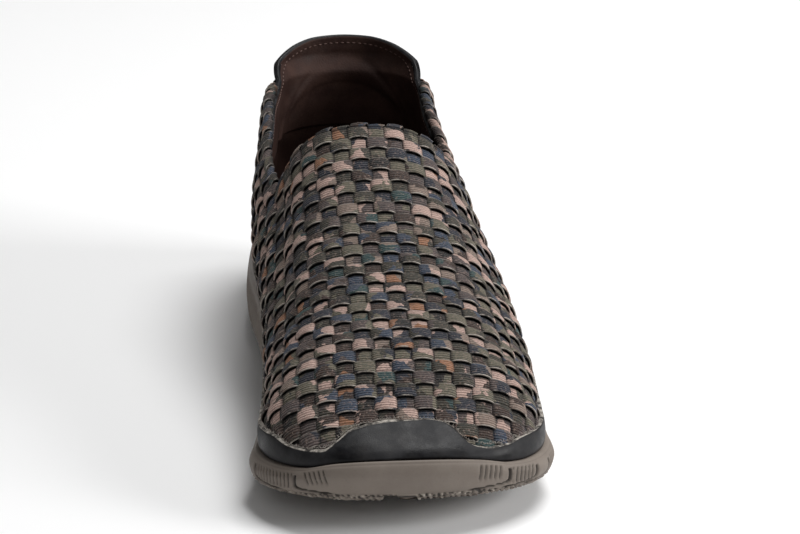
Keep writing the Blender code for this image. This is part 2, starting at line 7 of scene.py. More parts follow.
import logging
import math
from dataclasses import dataclass, field
from enum import Enum
from typing import Any

import bmesh
import bpy
import numpy as np
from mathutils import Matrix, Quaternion, Vector


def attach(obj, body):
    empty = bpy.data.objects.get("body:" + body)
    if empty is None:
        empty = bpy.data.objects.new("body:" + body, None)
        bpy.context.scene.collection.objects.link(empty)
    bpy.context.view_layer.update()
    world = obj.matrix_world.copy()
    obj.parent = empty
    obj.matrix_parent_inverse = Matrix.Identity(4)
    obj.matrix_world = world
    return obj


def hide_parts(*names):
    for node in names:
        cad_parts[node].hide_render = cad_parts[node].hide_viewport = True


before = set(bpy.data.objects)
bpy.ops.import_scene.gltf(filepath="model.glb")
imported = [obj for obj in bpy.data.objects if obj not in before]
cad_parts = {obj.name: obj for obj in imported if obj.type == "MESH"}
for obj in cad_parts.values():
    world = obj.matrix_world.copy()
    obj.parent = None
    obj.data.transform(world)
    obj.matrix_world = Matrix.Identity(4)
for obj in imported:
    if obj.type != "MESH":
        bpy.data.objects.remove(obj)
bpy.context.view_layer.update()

log = logging.getLogger("sneaker")

MM = 0.001
SIDES = (-1, 1)
BODY = "root"
Array = np.ndarray
Material = bpy.types.Material
Piece = bpy.types.Object
Pair = tuple[float, float]
Place = Colour = tuple[float, float, float]
Span = tuple[float, float, float, float]
Row = tuple[float, ...]
# The tapes' maps hold millimetres over this number.
MAP_SCALE = 100.0


def unit(vectors: Array) -> Array:
    """Vectors brought to length one."""
    return vectors / np.maximum(np.linalg.norm(vectors, axis=-1, keepdims=True), 1e-9)


def vectors_of(*parts: Array) -> Array:
    """Vectors from their parts."""
    return np.stack(parts, axis=-1)


def arc_length(points: Array) -> Array:
    """Distance along a row of points, from its first one."""
    steps = np.linalg.norm(np.diff(points, axis=0), axis=1)
    return np.concatenate([[0.0], np.cumsum(steps)])


def along(points: Array, lengths: Array, at: Array | float) -> Array:
    """Points at given distances along a row of points."""
    return np.stack([np.interp(at, lengths, column) for column in points.T], axis=-1)


def ramp_up(value: Array | float, low: float, high: float) -> Array:
    """Smooth step from 0 at low to 1 at high."""
    t = np.clip((value - low) / (high - low), 0, 1)
    return t * t * (3 - 2 * t)


def gate(value: Array | float, span: Span) -> Array:
    """Smooth window that opens between the first two places and closes between the last two."""
    return ramp_up(value, span[0], span[1]) * ramp_up(-value, -span[3], -span[2])


def bump(value: Array | float, middle: Array | float, width: Array | float) -> Array:
    """Bell of height one about a middle."""
    return np.exp(-(((value - middle) / width) ** 2))


def bilinear(grid: Array, u: Array, v: Array) -> Array:
    """Read a grid of vectors between its points.

    Args:
        grid: Values by row and column.
        u: Row places, in rows.
        v: Column places, in columns.

    Returns:
        One vector for each place.
    """
    u = np.clip(u, 0, grid.shape[0] - 1)
    v = np.clip(v, 0, grid.shape[1] - 1)
    i = np.minimum(u.astype(int), grid.shape[0] - 2)
    j = np.minimum(v.astype(int), grid.shape[1] - 2)
    a = (u - i)[..., None]
    b = (v - j)[..., None]
    near = grid[i, j] * (1 - b) + grid[i, j + 1] * b
    far = grid[i + 1, j] * (1 - b) + grid[i + 1, j + 1] * b
    return near * (1 - a) + far * a


def add_object(name: str, data: Any) -> Piece:
    """Put a new object into the scene."""
    item = bpy.data.objects.new(name, data)
    bpy.context.scene.collection.objects.link(item)
    return item


@dataclass(frozen=True)
class Curve:
    """A size that changes along the shoe, read between its rows without overshoot."""

    places: Row
    values: Row

    def __call__(self, at: Array | float) -> Array:
        """Value at any place, by monotone cubic pieces."""
        xs = np.array(self.places)
        ys = np.array(self.values)
        steps = np.diff(xs)
        rates = np.diff(ys) / steps
        slopes = np.concatenate([rates[:1], np.zeros(len(xs) - 2), rates[-1:]])
        same_way = rates[:-1] * rates[1:] > 0
        near = 2 * steps[1:] + steps[:-1]
        far = steps[1:] + 2 * steps[:-1]
        before = np.where(same_way, rates[:-1], 1.0)
        after = np.where(same_way, rates[1:], 1.0)
        slopes[1:-1] = np.where(same_way, (near + far) / (near / before + far / after), 0.0)
        at = np.clip(np.asarray(at, float), xs[0], xs[-1])
        i = np.clip(np.searchsorted(xs, at) - 1, 0, len(xs) - 2)
        t = (at - xs[i]) / steps[i]
        start = (1 + 2 * t) * (1 - t) ** 2 * ys[i] + t * (1 - t) ** 2 * steps[i] * slopes[i]
        end = t * t * (3 - 2 * t) * ys[i + 1] + t * t * (t - 1) * steps[i] * slopes[i + 1]
        return start + end


OUTLINE_AT = (0.0, 35.0, 75.0, 95.0, 120.0, 150.0, 185.0, 215.0, 245.0, 260.0, 275.0, 296.0)
SOLE_AT = (0.0, 16.0, 50.0, 90.0, 128.0, 168.0, 206.0, 240.0, 262.0, 276.0, 284.0, 290.0, 296.0)
UPPER_AT = (0.0, 40.0, 80.0, 110.0, 142.0, 156.0, 176.0, 209.0, 240.0, 265.0, 292.0)


@dataclass(frozen=True)
class Last:
    """Shape of the shoe's body: plan, sole heights and the face of the upper."""

    length: float = 296.0
    upper_inset: float = 5.5
    seat_gap: float = 0.3
    throat: float = 141.0
    heel_round: float = 40.0
    heel_power: float = 2.2
    toe_round: float = 58.0
    toe_power: float = 2.5
    ridge_round: float = 46.0
    ridge_power: float = 1.9
    crown_fall: float = 2.8
    crown_power: float = 2.4
    swell_reach: float = 1.6
    level_lift: float = 6.0
    samples: int = 400
    inner: Curve = Curve(
        OUTLINE_AT, (36.0, 36.8, 42.3, 44.0, 43.4, 43.3, 46.0, 49.4, 54.4, 58.6, 59.6, 59.5)
    )
    outer: Curve = Curve(
        OUTLINE_AT, (38.0, 39.0, 39.5, 40.8, 43.0, 46.4, 49.6, 50.4, 50.2, 51.5, 51.2, 46.0)
    )
    bottom: Curve = Curve(
        SOLE_AT, (2.5, 0.0, 0.0, 0.0, 2.5, 0.0, 0.0, 3.3, 6.8, 9.2, 10.4, 11.3, 12.2)
    )
    rim: Curve = Curve(
        SOLE_AT, (34.5, 34.0, 32.5, 30.0, 27.5, 24.0, 20.8, 18.8, 18.6, 19.8, 21.6, 25.2, 28.4)
    )
    rise: Curve = Curve(
        UPPER_AT, (106.0, 112.0, 99.0, 90.0, 72.0, 65.2, 55.7, 43.7, 35.5, 27.0, 13.0)
    )
    inner_swell: Curve = Curve(
        UPPER_AT, (0.02, 0.01, 0.02, 0.12, 0.18, 0.165, 0.125, 0.08, 0.04, 0.01, 0.0)
    )
    outer_swell: Curve = Curve(
        UPPER_AT, (0.06, 0.05, 0.05, 0.05, 0.05, 0.065, 0.075, 0.07, 0.03, 0.0, 0.0)
    )
    ridge_x: Curve = Curve(
        UPPER_AT, (4.0, -1.5, -8.0, -8.0, -4.0, -4.2, -4.5, -5.0, -6.0, -7.5, -9.0)
    )
    back: Curve = Curve((30, 40, 55, 75, 95, 110), (7.5, 6.0, 5.5, 8.0, 11.0, 12.0))
    collar: Curve = Curve(
        (0, 30, 48, 60, 75, 110, 141), (84.0, 84.5, 87.5, 90.3, 88.5, 80.5, 78.0)
    )

    @property
    def toe_tip(self) -> float:
        """Station of the upper's foremost point."""
        return self.length - self.upper_inset

    def middle(self, station: Array) -> Array:
        """Middle line of the plan."""
        return (self.outer(station) - self.inner(station)) / 2

    def round_end(self, distance: Array, size: float, power: float) -> Array:
        """Share of full width at a distance from a rounded end."""
        left = np.clip(1 - np.asarray(distance, float) / size, 0, 1)
        return (1 - left**power) ** (1 / power)

    def plan_edge(
        self, station: Array, side: int, inset: float, heel: Array, toe: float
    ) -> Array:
        """Across position of the plan drawn in by an inset.

        Args:
            station: Where along the shoe.
            side: 1 for the outer side, -1 for the inner one.
            inset: How far the plan is drawn in.
            heel: Station where its heel end starts.
            toe: Station where its toe end stops.

        Returns:
            The across positions.
        """
        half = (self.outer(station) + self.inner(station)) / 2 - inset
        half = half * self.round_end(station - heel, self.heel_round - inset, self.heel_power)
        half = half * self.round_end(toe - station, self.toe_round - inset, self.toe_power)
        return self.middle(station) + side * half

    def ridge(self, station: Array) -> Array:
        """Height of the upper's ridge line."""
        tip = self.round_end(self.toe_tip - station, self.ridge_round, self.ridge_power)
        return self.rim(station) + self.rise(station) * tip

    def upper_x(self, station: Array, height: Array, side: int) -> Array:
        """Across position of the upper's face on one side of the foot."""
        low = self.rim(station)
        share = np.clip((height - low) / np.maximum(self.ridge(station) - low, 1e-6), 0, 1)
        middle = self.middle(station)
        edge = self.plan_edge(station, 1, self.upper_inset, self.back(height), self.toe_tip)
        swell = self.outer_swell(station) if side > 0 else self.inner_swell(station)
        half = edge - middle
        half = half * (1 + swell * np.sin(np.pi * np.clip(share * self.swell_reach, 0, 1)))
        crown = (1 - share**self.crown_fall) ** (1 / self.crown_power)
        return middle + (self.ridge_x(station) - middle) * share**2 + side * half * crown

    def face(self, station: Array, height: Array, side: int) -> Array:
        """Points of the upper's face on one side of the foot."""
        return vectors_of(self.upper_x(station, height, side), station, height)

    def middle_x(self) -> float:
        """Middle of the sole's box across the foot."""
        station = np.linspace(0, self.length, 1500)
        outer = self.plan_edge(station, 1, 0.0, 0.0, self.length).max()
        inner = self.plan_edge(station, -1, 0.0, 0.0, self.length).min()
        return (outer + inner) / 2

    def to_frame(self, points: Array) -> Array:
        """Shoe coordinates (across, station, height) to the frame, in millimetres."""
        points = np.asarray(points, float)
        y = self.length / 2 - points[..., 1]
        return vectors_of(points[..., 0] - self.middle_x(), y, points[..., 2])

    def seat_height(self, station: Array | float) -> Array:
        """Height of the upper's foot on the sole."""
        return self.rim(station) + self.seat_gap

    def seat_under(self, points: Array) -> Array:
        """Height of the seat under frame points."""
        return self.seat_height(self.length / 2 - points[..., 1])

    def over_sole(self, points: Array) -> Array:
        """Raise frame points that would dip into the sole's top."""
        raised = np.array(points, float)
        raised[..., 2] = np.maximum(raised[..., 2], self.seat_under(raised))
        return raised

    def laid_level(self, normals: Array, lift: Array) -> Array:
        """Lay directions level near the seat."""
        level = np.array(normals, float)
        level[..., 2] *= np.clip(lift / self.level_lift, 0, 1)
        return unit(level)


class SeatLine:
    """The upper's foot line on the sole: a loop from the toe round the outer side and back."""

    search: tuple[float, float, int] = (-12.0, 45.0, 40)

    def __init__(self, last: Last) -> None:
        """Lay the loop on a last."""
        self.last = last
        share = (1 - np.cos(np.pi * np.linspace(0, 1, last.samples))) / 2
        first = last.back(last.seat_height(0))
        station = first + (last.toe_tip - first) * share
        height = last.seat_height(station)
        outer = last.face(station, height, 1)[::-1]
        inner = last.face(station, height, -1)
        self.points = np.concatenate([outer, inner[1:]])
        self.lengths = arc_length(self.points)
        self.total = self.lengths[-1]
        self.to_back = self.lengths[len(outer) - 1]

    def at(self, distance: Array) -> Array:
        """Points of the line."""
        return along(self.points, self.lengths, np.mod(distance, self.total))

    def from_toe(self, distance: Array) -> Array:
        """Shorter way round to the toe."""
        distance = np.mod(distance, self.total)
        return np.minimum(distance, self.total - distance)

    def inward(self, distance: Array) -> Array:
        """Level direction into the shoe, in shoe coordinates."""
        step = self.at(distance + 1.0) - self.at(distance - 1.0)
        return unit(vectors_of(step[..., 1], -step[..., 0], 0 * step[..., 0]))

    def wall(self, distance: Array, height: Array) -> Array:
        """Points of the upper's face over places of the line.

        Args:
            distance: Places along the line.
            height: Heights over the floor, in the same shape.

        Returns:
            Points in shoe coordinates.
        """
        start = self.at(distance)
        inward = self.inward(distance)
        outside = np.full(np.shape(height), self.search[0])
        inside = np.full(np.shape(height), self.search[1])
        x = station = outside
        for _ in range(self.search[2]):
            middle = (outside + inside) / 2
            x = start[..., 0] + inward[..., 0] * middle
            station = start[..., 1] + inward[..., 1] * middle
            outer_room = self.last.upper_x(station, height, 1) - x
            room = np.minimum(outer_room, x - self.last.upper_x(station, height, -1))
            outside = np.where(room > 0, outside, middle)
            inside = np.where(room > 0, middle, inside)
        return vectors_of(x, station, height)


def grid_normals(grid: Array, closed: bool) -> Array:
    """Outward directions of a grid whose rows go round the shoe and columns go up."""
    if closed:
        round_step = np.roll(grid, -1, axis=0) - np.roll(grid, 1, axis=0)
    else:
        round_step = np.gradient(grid, axis=0)
    normals = unit(np.cross(round_step, np.gradient(grid, axis=1)))
    away = np.sum(normals[..., :2] * (grid[..., :2] - grid[..., :2].mean(axis=(0, 1))))
    return normals if away > 0 else -normals


@dataclass
class Patchwork:
    """Points and faces of a piece as they are gathered, with its finish numbers and maps."""

    points: list[Array] = field(default_factory=list)
    faces: list[list[int]] = field(default_factory=list)
    finishes: list[int] = field(default_factory=list)
    map: list[Array] = field(default_factory=list)
    seeds: list[Array] = field(default_factory=list)
    # Painted shade of each point, kept as the point attribute 'dip'.
    painted_shades: list[Array] = field(default_factory=list)
    count: int = 0

    def add_points(self, points: Array) -> int:
        """Add points and return the number of the first."""
        first = self.count
        flat = np.asarray(points, float).reshape(-1, 3)
        self.points.append(flat)
        self.count += len(flat)
        return first

    def add_face(self, corners: list[int], finish: int = 0) -> None:
        """Add one face."""
        self.faces.append(corners)
        self.finishes.append(finish)

    def add_rings(
        self,
        rings: Array,
        closed_run: bool,
        finishes: list[int] | None = None,
        capped: bool = True,
    ) -> int:
        """Join rings of points into a tube, with its ends capped unless it closes on itself.

        Args:
            rings: Points by ring and by place round the ring.
            closed_run: Whether the last ring joins the first.
            finishes: Finish number of each strip round the ring.
            capped: Whether the ends of an open run are closed here.

        Returns:
            The number of the first point.
        """
        count, around = rings.shape[:2]
        first = self.add_points(rings)
        kinds = finishes or [0] * around
        for i in range(count if closed_run else count - 1):
            j = (i + 1) % count
            for k in range(around):
                m = (k + 1) % around
                a = first + i * around
                b = first + j * around
                self.add_face([a + k, b + k, b + m, a + m], kinds[k])
        if capped and not closed_run:
            self.add_face([first + k for k in range(around)], kinds[0])
            last = first + (count - 1) * around
            self.add_face([last + k for k in reversed(range(around))], kinds[0])
        return first

    def make(self, name: str, finishes: list[Material]) -> Piece:
        """Make the piece's object.

        Args:
            name: Name of the piece.
            finishes: Its materials, by finish number.

        Returns:
            The object, smooth shaded, with its faces turned outwards.
        """
        mesh = bpy.data.meshes.new(name)
        mesh.from_pydata((np.concatenate(self.points) * MM).tolist(), [], self.faces)
        for material in finishes:
            mesh.materials.append(material)
        mesh.polygons.foreach_set("material_index", self.finishes)
        if self.map:
            layer = mesh.uv_layers.new(name="tape")
            corner = np.empty(len(mesh.loops), int)
            mesh.loops.foreach_get("vertex_index", corner)
            layer.uv.foreach_set("vector", np.concatenate(self.map)[corner].ravel())
            seed = mesh.attributes.new("seed", "FLOAT", "POINT")
            seed.data.foreach_set("value", np.concatenate(self.seeds))
        # The painted shade goes to the point attribute 'dip', which the finishes darken by.
        if self.painted_shades:
            dip = mesh.attributes.new("dip", "FLOAT", "POINT")
            dip.data.foreach_set("value", np.concatenate(self.painted_shades))
        shape = bmesh.new()
        shape.from_mesh(mesh)
        bmesh.ops.recalc_face_normals(shape, faces=shape.faces)
        shape.to_mesh(mesh)
        shape.free()
        mesh.shade_smooth()
        return add_object(name, mesh)


def tube(
    name: str, rings: Array, closed: bool, finishes: list[Material], kinds: list[int] | None = None
) -> Piece:
    """Make a piece of one tube of rings.

    Args:
        name: Name of the piece.
        rings: Points by ring and by place round the ring.
        closed: Whether the last ring joins the first.
        finishes: Its materials, by finish number.
        kinds: Finish number of each strip round the ring.

    Returns:
        The object.
    """
    work = Patchwork()
    work.add_rings(rings, closed, kinds)
    return work.make(name, finishes)


def shell(near: Array, far: Array) -> Array:
    """Rings of a wall between two matching grids, up its outer face and down its inner one.

    Args:
        near: Points of the inner face, by place round and level.
        far: Points of the outer face.

    Returns:
        The rings, ready to be joined.
    """
    return np.concatenate([far, near[:, ::-1]], axis=1)


class Nodes:
    """Short hand for laying nodes in a tree."""

    def __init__(self, tree: bpy.types.NodeTree) -> None:
        """Work on one tree."""
        self.tree = tree

    def feed(self, node: Any, sockets: dict[Any, Any]) -> None:
        """Set a node's inputs by name or number, each to a value or to a socket to link from."""
        for key, value in sockets.items():
            if isinstance(value, bpy.types.NodeSocket):
                self.tree.links.new(value, node.inputs[key])
            else:
                node.inputs[key].default_value = value

    def add(self, kind: str, sockets: dict[Any, Any] | None = None, **settings: Any) -> Any:
        """Add a node.

        Args:
            kind: Type of the node.
            sockets: Inputs by name or number, each a value or a socket to link from.
            settings: Properties of the node.

        Returns:
            The node.
        """
        node = self.tree.nodes.new(kind)
        for name, value in settings.items():
            setattr(node, name, value)
        self.feed(node, sockets or {})
        return node

    def math(self, operation: str, *values: Any, clamp: bool = False) -> Any:
        """Output of a math node."""
        sockets = dict(enumerate(values))
        return self.add("ShaderNodeMath", sockets, operation=operation, use_clamp=clamp).outputs[0]

    def vector(self, operation: str, *values: Any) -> Any:
        """Output of a vector math node."""
        sockets = dict(enumerate(values))
        return self.add("ShaderNodeVectorMath", sockets, operation=operation).outputs[0]

    def scale(self, vector: Any, by: float) -> Any:
        """A vector drawn out."""
        sockets = {0: vector, "Scale": by}
        return self.add("ShaderNodeVectorMath", sockets, operation="SCALE").outputs[0]

    def mix(self, factor: Any, a: Any, b: Any, blend: str = "MIX") -> Any:
        """Output of a colour mix, each colour a socket or a value."""
        ends = [(*end, 1.0) if isinstance(end, tuple) else end for end in (a, b)]
        sockets = {0: factor, 6: ends[0], 7: ends[1]}
        node = self.add("ShaderNodeMix", sockets, data_type="RGBA", blend_type=blend)
        return node.outputs[2]

    def coat(self, colour: Any, coats: list[tuple[Any, Any]]) -> Any:
        """A colour under several coats, each with its share and its colour."""
        for share, over in coats:
            colour = self.mix(share, colour, over)
        return colour

    def ramp(
        self, value: Any, low: float, high: float, start: float = 0.0, end: float = 1.0
    ) -> Any:
        """A value brought smoothly from one range to another."""
        sockets = {0: value, 1: low, 2: high, 3: start, 4: end}
        return self.add("ShaderNodeMapRange", sockets, interpolation_type="SMOOTHSTEP").outputs[0]

    def steps(self, value: Any, stops: list[tuple[float, Colour]], blend: str) -> Any:
        """Colour from a row of stops."""
        node = self.add("ShaderNodeValToRGB", {0: value})
        scale = node.color_ramp
        scale.interpolation = blend
        while len(scale.elements) < len(stops):
            scale.elements.new(1.0)
        for element, (place, colour) in zip(scale.elements, stops):
            element.position = place
            element.color = (*colour, 1.0)
        return node.outputs[0]

    def noise(self, vector: Any, scale: float, detail: float = 2.0, rough: float = 0.5) -> Any:
        """Value of a noise."""
        sockets = {"Vector": vector, "Scale": scale, "Detail": detail, "Roughness": rough}
        return self.add("ShaderNodeTexNoise", sockets).outputs[0]

    def bump(self, height: Any, strength: float, distance: float) -> Any:
        """Direction of a surface raised by a height, up to a distance in millimetres."""
        sockets = {"Height": height, "Strength": strength, "Distance": distance * MM}
        return self.add("ShaderNodeBump", sockets).outputs[0]

    def place(self) -> Any:
        """Place in the piece."""
        return self.add("ShaderNodeTexCoord").outputs["Object"]

    def attribute(self, name: str) -> Any:
        """A number kept on the piece's points."""
        return self.add("ShaderNodeAttribute", attribute_name=name).outputs["Fac"]


class Group:
    """A shader effect that several finishes share."""

    def __init__(self, name: str, inputs: dict[str, Any], outputs: dict[str, str]) -> None:
        """Make an empty group.

        Args:
            name: Name of the group.
            inputs: Kind of socket, or its value, by name.
            outputs: Kind of socket by name.
        """
        self.tree = bpy.data.node_groups.new(name, "ShaderNodeTree")
        self.nodes = Nodes(self.tree)
        for key, value in inputs.items():
            kind = value if isinstance(value, str) else "NodeSocketFloat"
            socket = self.tree.interface.new_socket(key, in_out="INPUT", socket_type=kind)
            if not isinstance(value, str):
                socket.default_value = value
        for key, kind in outputs.items():
            self.tree.interface.new_socket(key, in_out="OUTPUT", socket_type=kind)
        self.start = self.nodes.add("NodeGroupInput").outputs
        self.end = self.nodes.add("NodeGroupOutput")

    def give(self, name: str, socket: Any) -> None:
        """Lead a socket out of the group."""
        self.nodes.feed(self.end, {name: socket})


COLOUR = "NodeSocketColor"
VALUE = "NodeSocketFloat"


class Effects:
    """The node groups that the finishes share."""

    print_stops: list[tuple[float, Colour]] = [
        (0.0, (0.042, 0.038, 0.028)),
        (0.15, (0.142, 0.128, 0.092)),
        (0.30, (0.088, 0.066, 0.064)),
        (0.42, (0.017, 0.022, 0.038)),
        (0.52, (0.036, 0.055, 0.092)),
        (0.61, (0.044, 0.025, 0.020)),
        (0.69, (0.010, 0.009, 0.010)),
        (0.75, (0.540, 0.375, 0.320)),
        (0.89, (0.260, 0.195, 0.160)),
        (0.95, (0.340, 0.160, 0.085)),
        (0.975, (0.024, 0.064, 0.066)),
    ]
    seed_shift: Pair = (731.0, 389.0)
    wander_scale: float = 0.16
    wander_reach: float = 13.0

    def __init__(self) -> None:
        """Build every group once."""
        self.print = self.make_print()
        self.grain = self.make_grain()
        self.dust = self.make_dust()

    def make_print(self) -> bpy.types.NodeTree:
        """Blotched colours printed on the tapes, by place along and across each tape."""
        group = Group("tape_print", {"Seed": 0.0, "Blotch": 9.0}, {"Color": COLOUR})
        nodes = group.nodes
        spot = nodes.scale(nodes.add("ShaderNodeUVMap", uv_map="tape").outputs[0], MAP_SCALE)
        shifts = [nodes.math("MULTIPLY", group.start["Seed"], by) for by in self.seed_shift]
        shift = nodes.add("ShaderNodeCombineXYZ", dict(enumerate(shifts))).outputs[0]
        spot = nodes.vector("ADD", spot, shift)
        sockets = {"Vector": spot, "Scale": self.wander_scale, "Detail": 3.0}
        wander = nodes.add("ShaderNodeTexNoise", sockets).outputs[1]
        wander = nodes.vector("SUBTRACT", wander, (0.5, 0.5, 0.5))
        spot = nodes.vector("ADD", spot, nodes.scale(wander, self.wander_reach))
        size = nodes.math("DIVIDE", 1.0, group.start["Blotch"])
        sockets = {"Vector": spot, "Scale": size}
        cells = nodes.add("ShaderNodeTexVoronoi", sockets, voronoi_dimensions="2D")
        pick = nodes.add("ShaderNodeSeparateColor", {0: cells.outputs["Color"]}).outputs[0]
        group.give("Color", nodes.steps(pick, self.print_stops, "CONSTANT"))
        return group.tree

    def make_grain(self) -> bpy.types.NodeTree:
        """Leather grain: small cells between fine folds, and slow changes of sheen."""
        outputs = {"Height": VALUE, "Cloud": VALUE}
        group = Group("leather_grain", {"Cell": 1.1, "Patch": 90.0}, outputs)
        nodes = group.nodes
        spot = nodes.place()
        scale = nodes.math("DIVIDE", 1 / MM, group.start["Cell"])
        sockets = {"Vector": spot, "Scale": scale}
        cells = nodes.add("ShaderNodeTexVoronoi", sockets, feature="DISTANCE_TO_EDGE")
        fold = nodes.ramp(cells.outputs["Distance"], 0.0, 0.22)
        fine = nodes.noise(spot, 2600.0, 3.0)
        wide = nodes.noise(spot, group.start["Patch"], 4.0, 0.6)
        height = nodes.math("MULTIPLY_ADD", fine, 0.35, fold)
        group.give("Height", nodes.math("MULTIPLY_ADD", wide, 0.9, height))
        group.give("Cloud", wide)
        return group.tree

    def make_dust(self) -> bpy.types.NodeTree:
        """Pale dust that gathers in patches and near the floor."""
        inputs = {"Color": COLOUR, "Dust": COLOUR, "Amount": 0.2, "Reach": 0.03}
        group = Group("floor_dust", inputs, {"Color": COLOUR, "Mask": VALUE})
        nodes = group.nodes
        spot = nodes.place()
        height = nodes.add("ShaderNodeSeparateXYZ", {0: spot}).outputs[2]
        low = nodes.math("DIVIDE", height, group.start["Reach"])
        low = nodes.math("SUBTRACT", 1.0, low, clamp=True)
        patch = nodes.ramp(nodes.noise(spot, 140.0, 6.0, 0.65), 0.42, 0.72)
        speck = nodes.ramp(nodes.noise(spot, 900.0, 4.0, 0.7), 0.5, 0.75)
        mask = nodes.math("MULTIPLY_ADD", low, 0.5, nodes.math("MULTIPLY", patch, 0.6))
        mask = nodes.math("MULTIPLY_ADD", speck, 0.25, mask)
        mask = nodes.math("MULTIPLY", mask, group.start["Amount"], clamp=True)
        group.give("Mask", mask)
        group.give("Color", nodes.mix(mask, group.start["Color"], group.start["Dust"]))
        return group.tree


def new_finish(name: str) -> tuple[Material, Nodes, Any]:
    """Make a material.

    Args:
        name: Name of the material.

    Returns:
        The material, its nodes and its surface node.
    """
    material = bpy.data.materials.new(name)
    material.use_nodes = True
    tree = material.node_tree
    return material, Nodes(tree), tree.nodes["Principled BSDF"]


class RibRun(Enum):
    """Which way the fine ribs of a tape run."""

    ALONG = 1
    ACROSS = 0


@dataclass(frozen=True)
class TapeFinish:
    """Printed elastic tape with fine ribs and paler selvedges, painted shade in rib valleys and
    sunk places, and painted highlights on rib tops and selvedges.
    """

    name: str
    ribs: RibRun
    half_width: float
    selvedge: float
    pitch: float = 1.05
    depth: float = 0.34
    shade: float = 0.85
    # Strength of the painted shade read from the 'dip' attribute.
    gap_shade_strength: float = 0.97
    roughness: float = 0.82
    gloss: float = 0.16
    # Tint of the painted shade in the rib valleys, also used for darker threads.
    sunk_tint: Colour = (0.30, 0.28, 0.28)
    # Painted highlight on the rib tops.
    ridge_highlight: Colour = (0.36, 0.33, 0.30)
    thread_pale: Colour = (0.42, 0.38, 0.34)
    fleck_warm: Colour = (0.27, 0.20, 0.17)
    fleck_cool: Colour = (0.030, 0.040, 0.042)
    fluff: Colour = (0.24, 0.21, 0.18)
    # Pale selvedge colour, partly a painted highlight.
    edge_pale_and_highlight: Colour = (0.50, 0.45, 0.40)
    # Colour of the painted shade under tape edges and in sunk places.
    shaded_gap: Colour = (0.003, 0.003, 0.004)

    def make(self, effects: Effects) -> Material:
        """Build the material."""
        material, nodes, finish = new_finish(self.name)
        seed = nodes.attribute("seed")
        spot = nodes.add("ShaderNodeUVMap", uv_map="tape").outputs[0]
        parts = nodes.add("ShaderNodeSeparateXYZ", {0: spot}).outputs
        place = nodes.place()
        rib = self.rib(nodes, parts[self.ribs.value], place)
        fibre = nodes.noise(place, 3200.0, 3.0, 0.6)
        fleck = nodes.noise(place, 1100.0, 2.0, 0.6)
        streak = self.streak(nodes, spot, seed)
        printed = nodes.add("ShaderNodeGroup", {"Seed": seed}, node_tree=effects.print).outputs[0]
        dark = nodes.mix(1.0, printed, self.sunk_tint, "MULTIPLY")
        valley = nodes.math("MULTIPLY", nodes.math("SUBTRACT", 1.0, rib), self.shade)
        coats = [
            # Painted shade in the valleys between the fine ribs.
            (valley, dark),
            # Painted highlight on the rib tops.
            (nodes.ramp(rib, 0.75, 1.0, 0.0, self.shade * 0.1575), self.ridge_highlight),
            (nodes.ramp(streak, 0.30, 0.52, 0.55, 0.0), dark),
            (nodes.ramp(streak, 0.55, 0.78, 0.0, 0.275), self.thread_pale),
            (nodes.ramp(fleck, 0.56, 0.68, 0.0, 0.45), self.fleck_warm),
            (nodes.ramp(fleck, 0.36, 0.46, 0.40, 0.0), self.fleck_cool),
            (nodes.ramp(fibre, 0.45, 0.80, 0.0, 0.20), self.fluff),
            # Pale selvedge with a painted highlight.
            (self.edge(nodes, parts[1], place), self.edge_pale_and_highlight),
            # Painted shade from the 'dip' attribute: crescents under tape edges and sunk places.
            (nodes.ramp(nodes.attribute("dip"), 0.0, 1.0, 0.0, self.gap_shade_strength), self.shaded_gap),
        ]
        height = nodes.math("MULTIPLY_ADD", fibre, 0.4, rib)
        sockets = {
            "Base Color": nodes.coat(printed, coats),
            "Normal": nodes.bump(height, 0.7, self.depth),
            "Roughness": self.roughness,
            "Specular IOR Level": self.gloss,
            "Sheen Weight": 0.03,
            "Sheen Roughness": 0.5,
        }
        nodes.feed(finish, sockets)
        return material

    def edge(self, nodes: Nodes, across: Any, place: Any) -> Any:
        """Share of the pale selvedge with its painted highlight, broken into patches by noise.

        Args:
            nodes: The material's nodes.
            across: Distance from the tape's middle, as its map holds it.
            place: Place in the piece.

        Returns:
            The socket of the share.
        """
        far = nodes.math("ABSOLUTE", nodes.math("MULTIPLY", across, MAP_SCALE))
        edge = nodes.ramp(far, self.half_width * 0.86, self.half_width * 0.97)
        edge_patches = nodes.ramp(nodes.noise(place, 260.0, 3.0, 0.6), 0.38, 0.62)
        return nodes.math("MULTIPLY", edge, nodes.math("MULTIPLY", edge_patches, self.selvedge))

    def streak(self, nodes: Nodes, spot: Any, seed: Any) -> Any:
        """Uneven threads drawn out along the ribs.

        Args:
            nodes: The material's nodes.
            spot: Place on the tape.
            seed: The tape's own number.

        Returns:
            The socket of the noise.
        """
        fine = (140.0, 420.0, 1.0) if self.ribs is RibRun.ALONG else (420.0, 140.0, 1.0)
        drawn = nodes.vector("MULTIPLY", spot, fine)
        lift = nodes.add("ShaderNodeCombineXYZ", {2: nodes.math("MULTIPLY", seed, 57.0)}).outputs[0]
        return nodes.noise(nodes.vector("ADD", drawn, lift), 1.0, 3.0, 0.6)

    def rib(self, nodes: Nodes, place: Any, spot: Any) -> Any:
        """Wave of the fine ribs, 1 on a rib and 0 between two.

        Args:
            nodes: The material's nodes.
            place: Place on the tape in the direction that the ribs are counted.
            spot: Place in the piece, for a little wander.

        Returns:
            The socket of the wave.
        """
        wander = nodes.noise(spot, 420.0, 3.0)
        place = nodes.math("MULTIPLY_ADD", wander, 0.35, nodes.math("MULTIPLY", place, MAP_SCALE))
        turn = nodes.math("MULTIPLY", place, 2 * math.pi / self.pitch)
        wave = nodes.math("MULTIPLY_ADD", nodes.math("SINE", turn), 0.5, 0.5)
        return nodes.math("POWER", wave, 0.6)


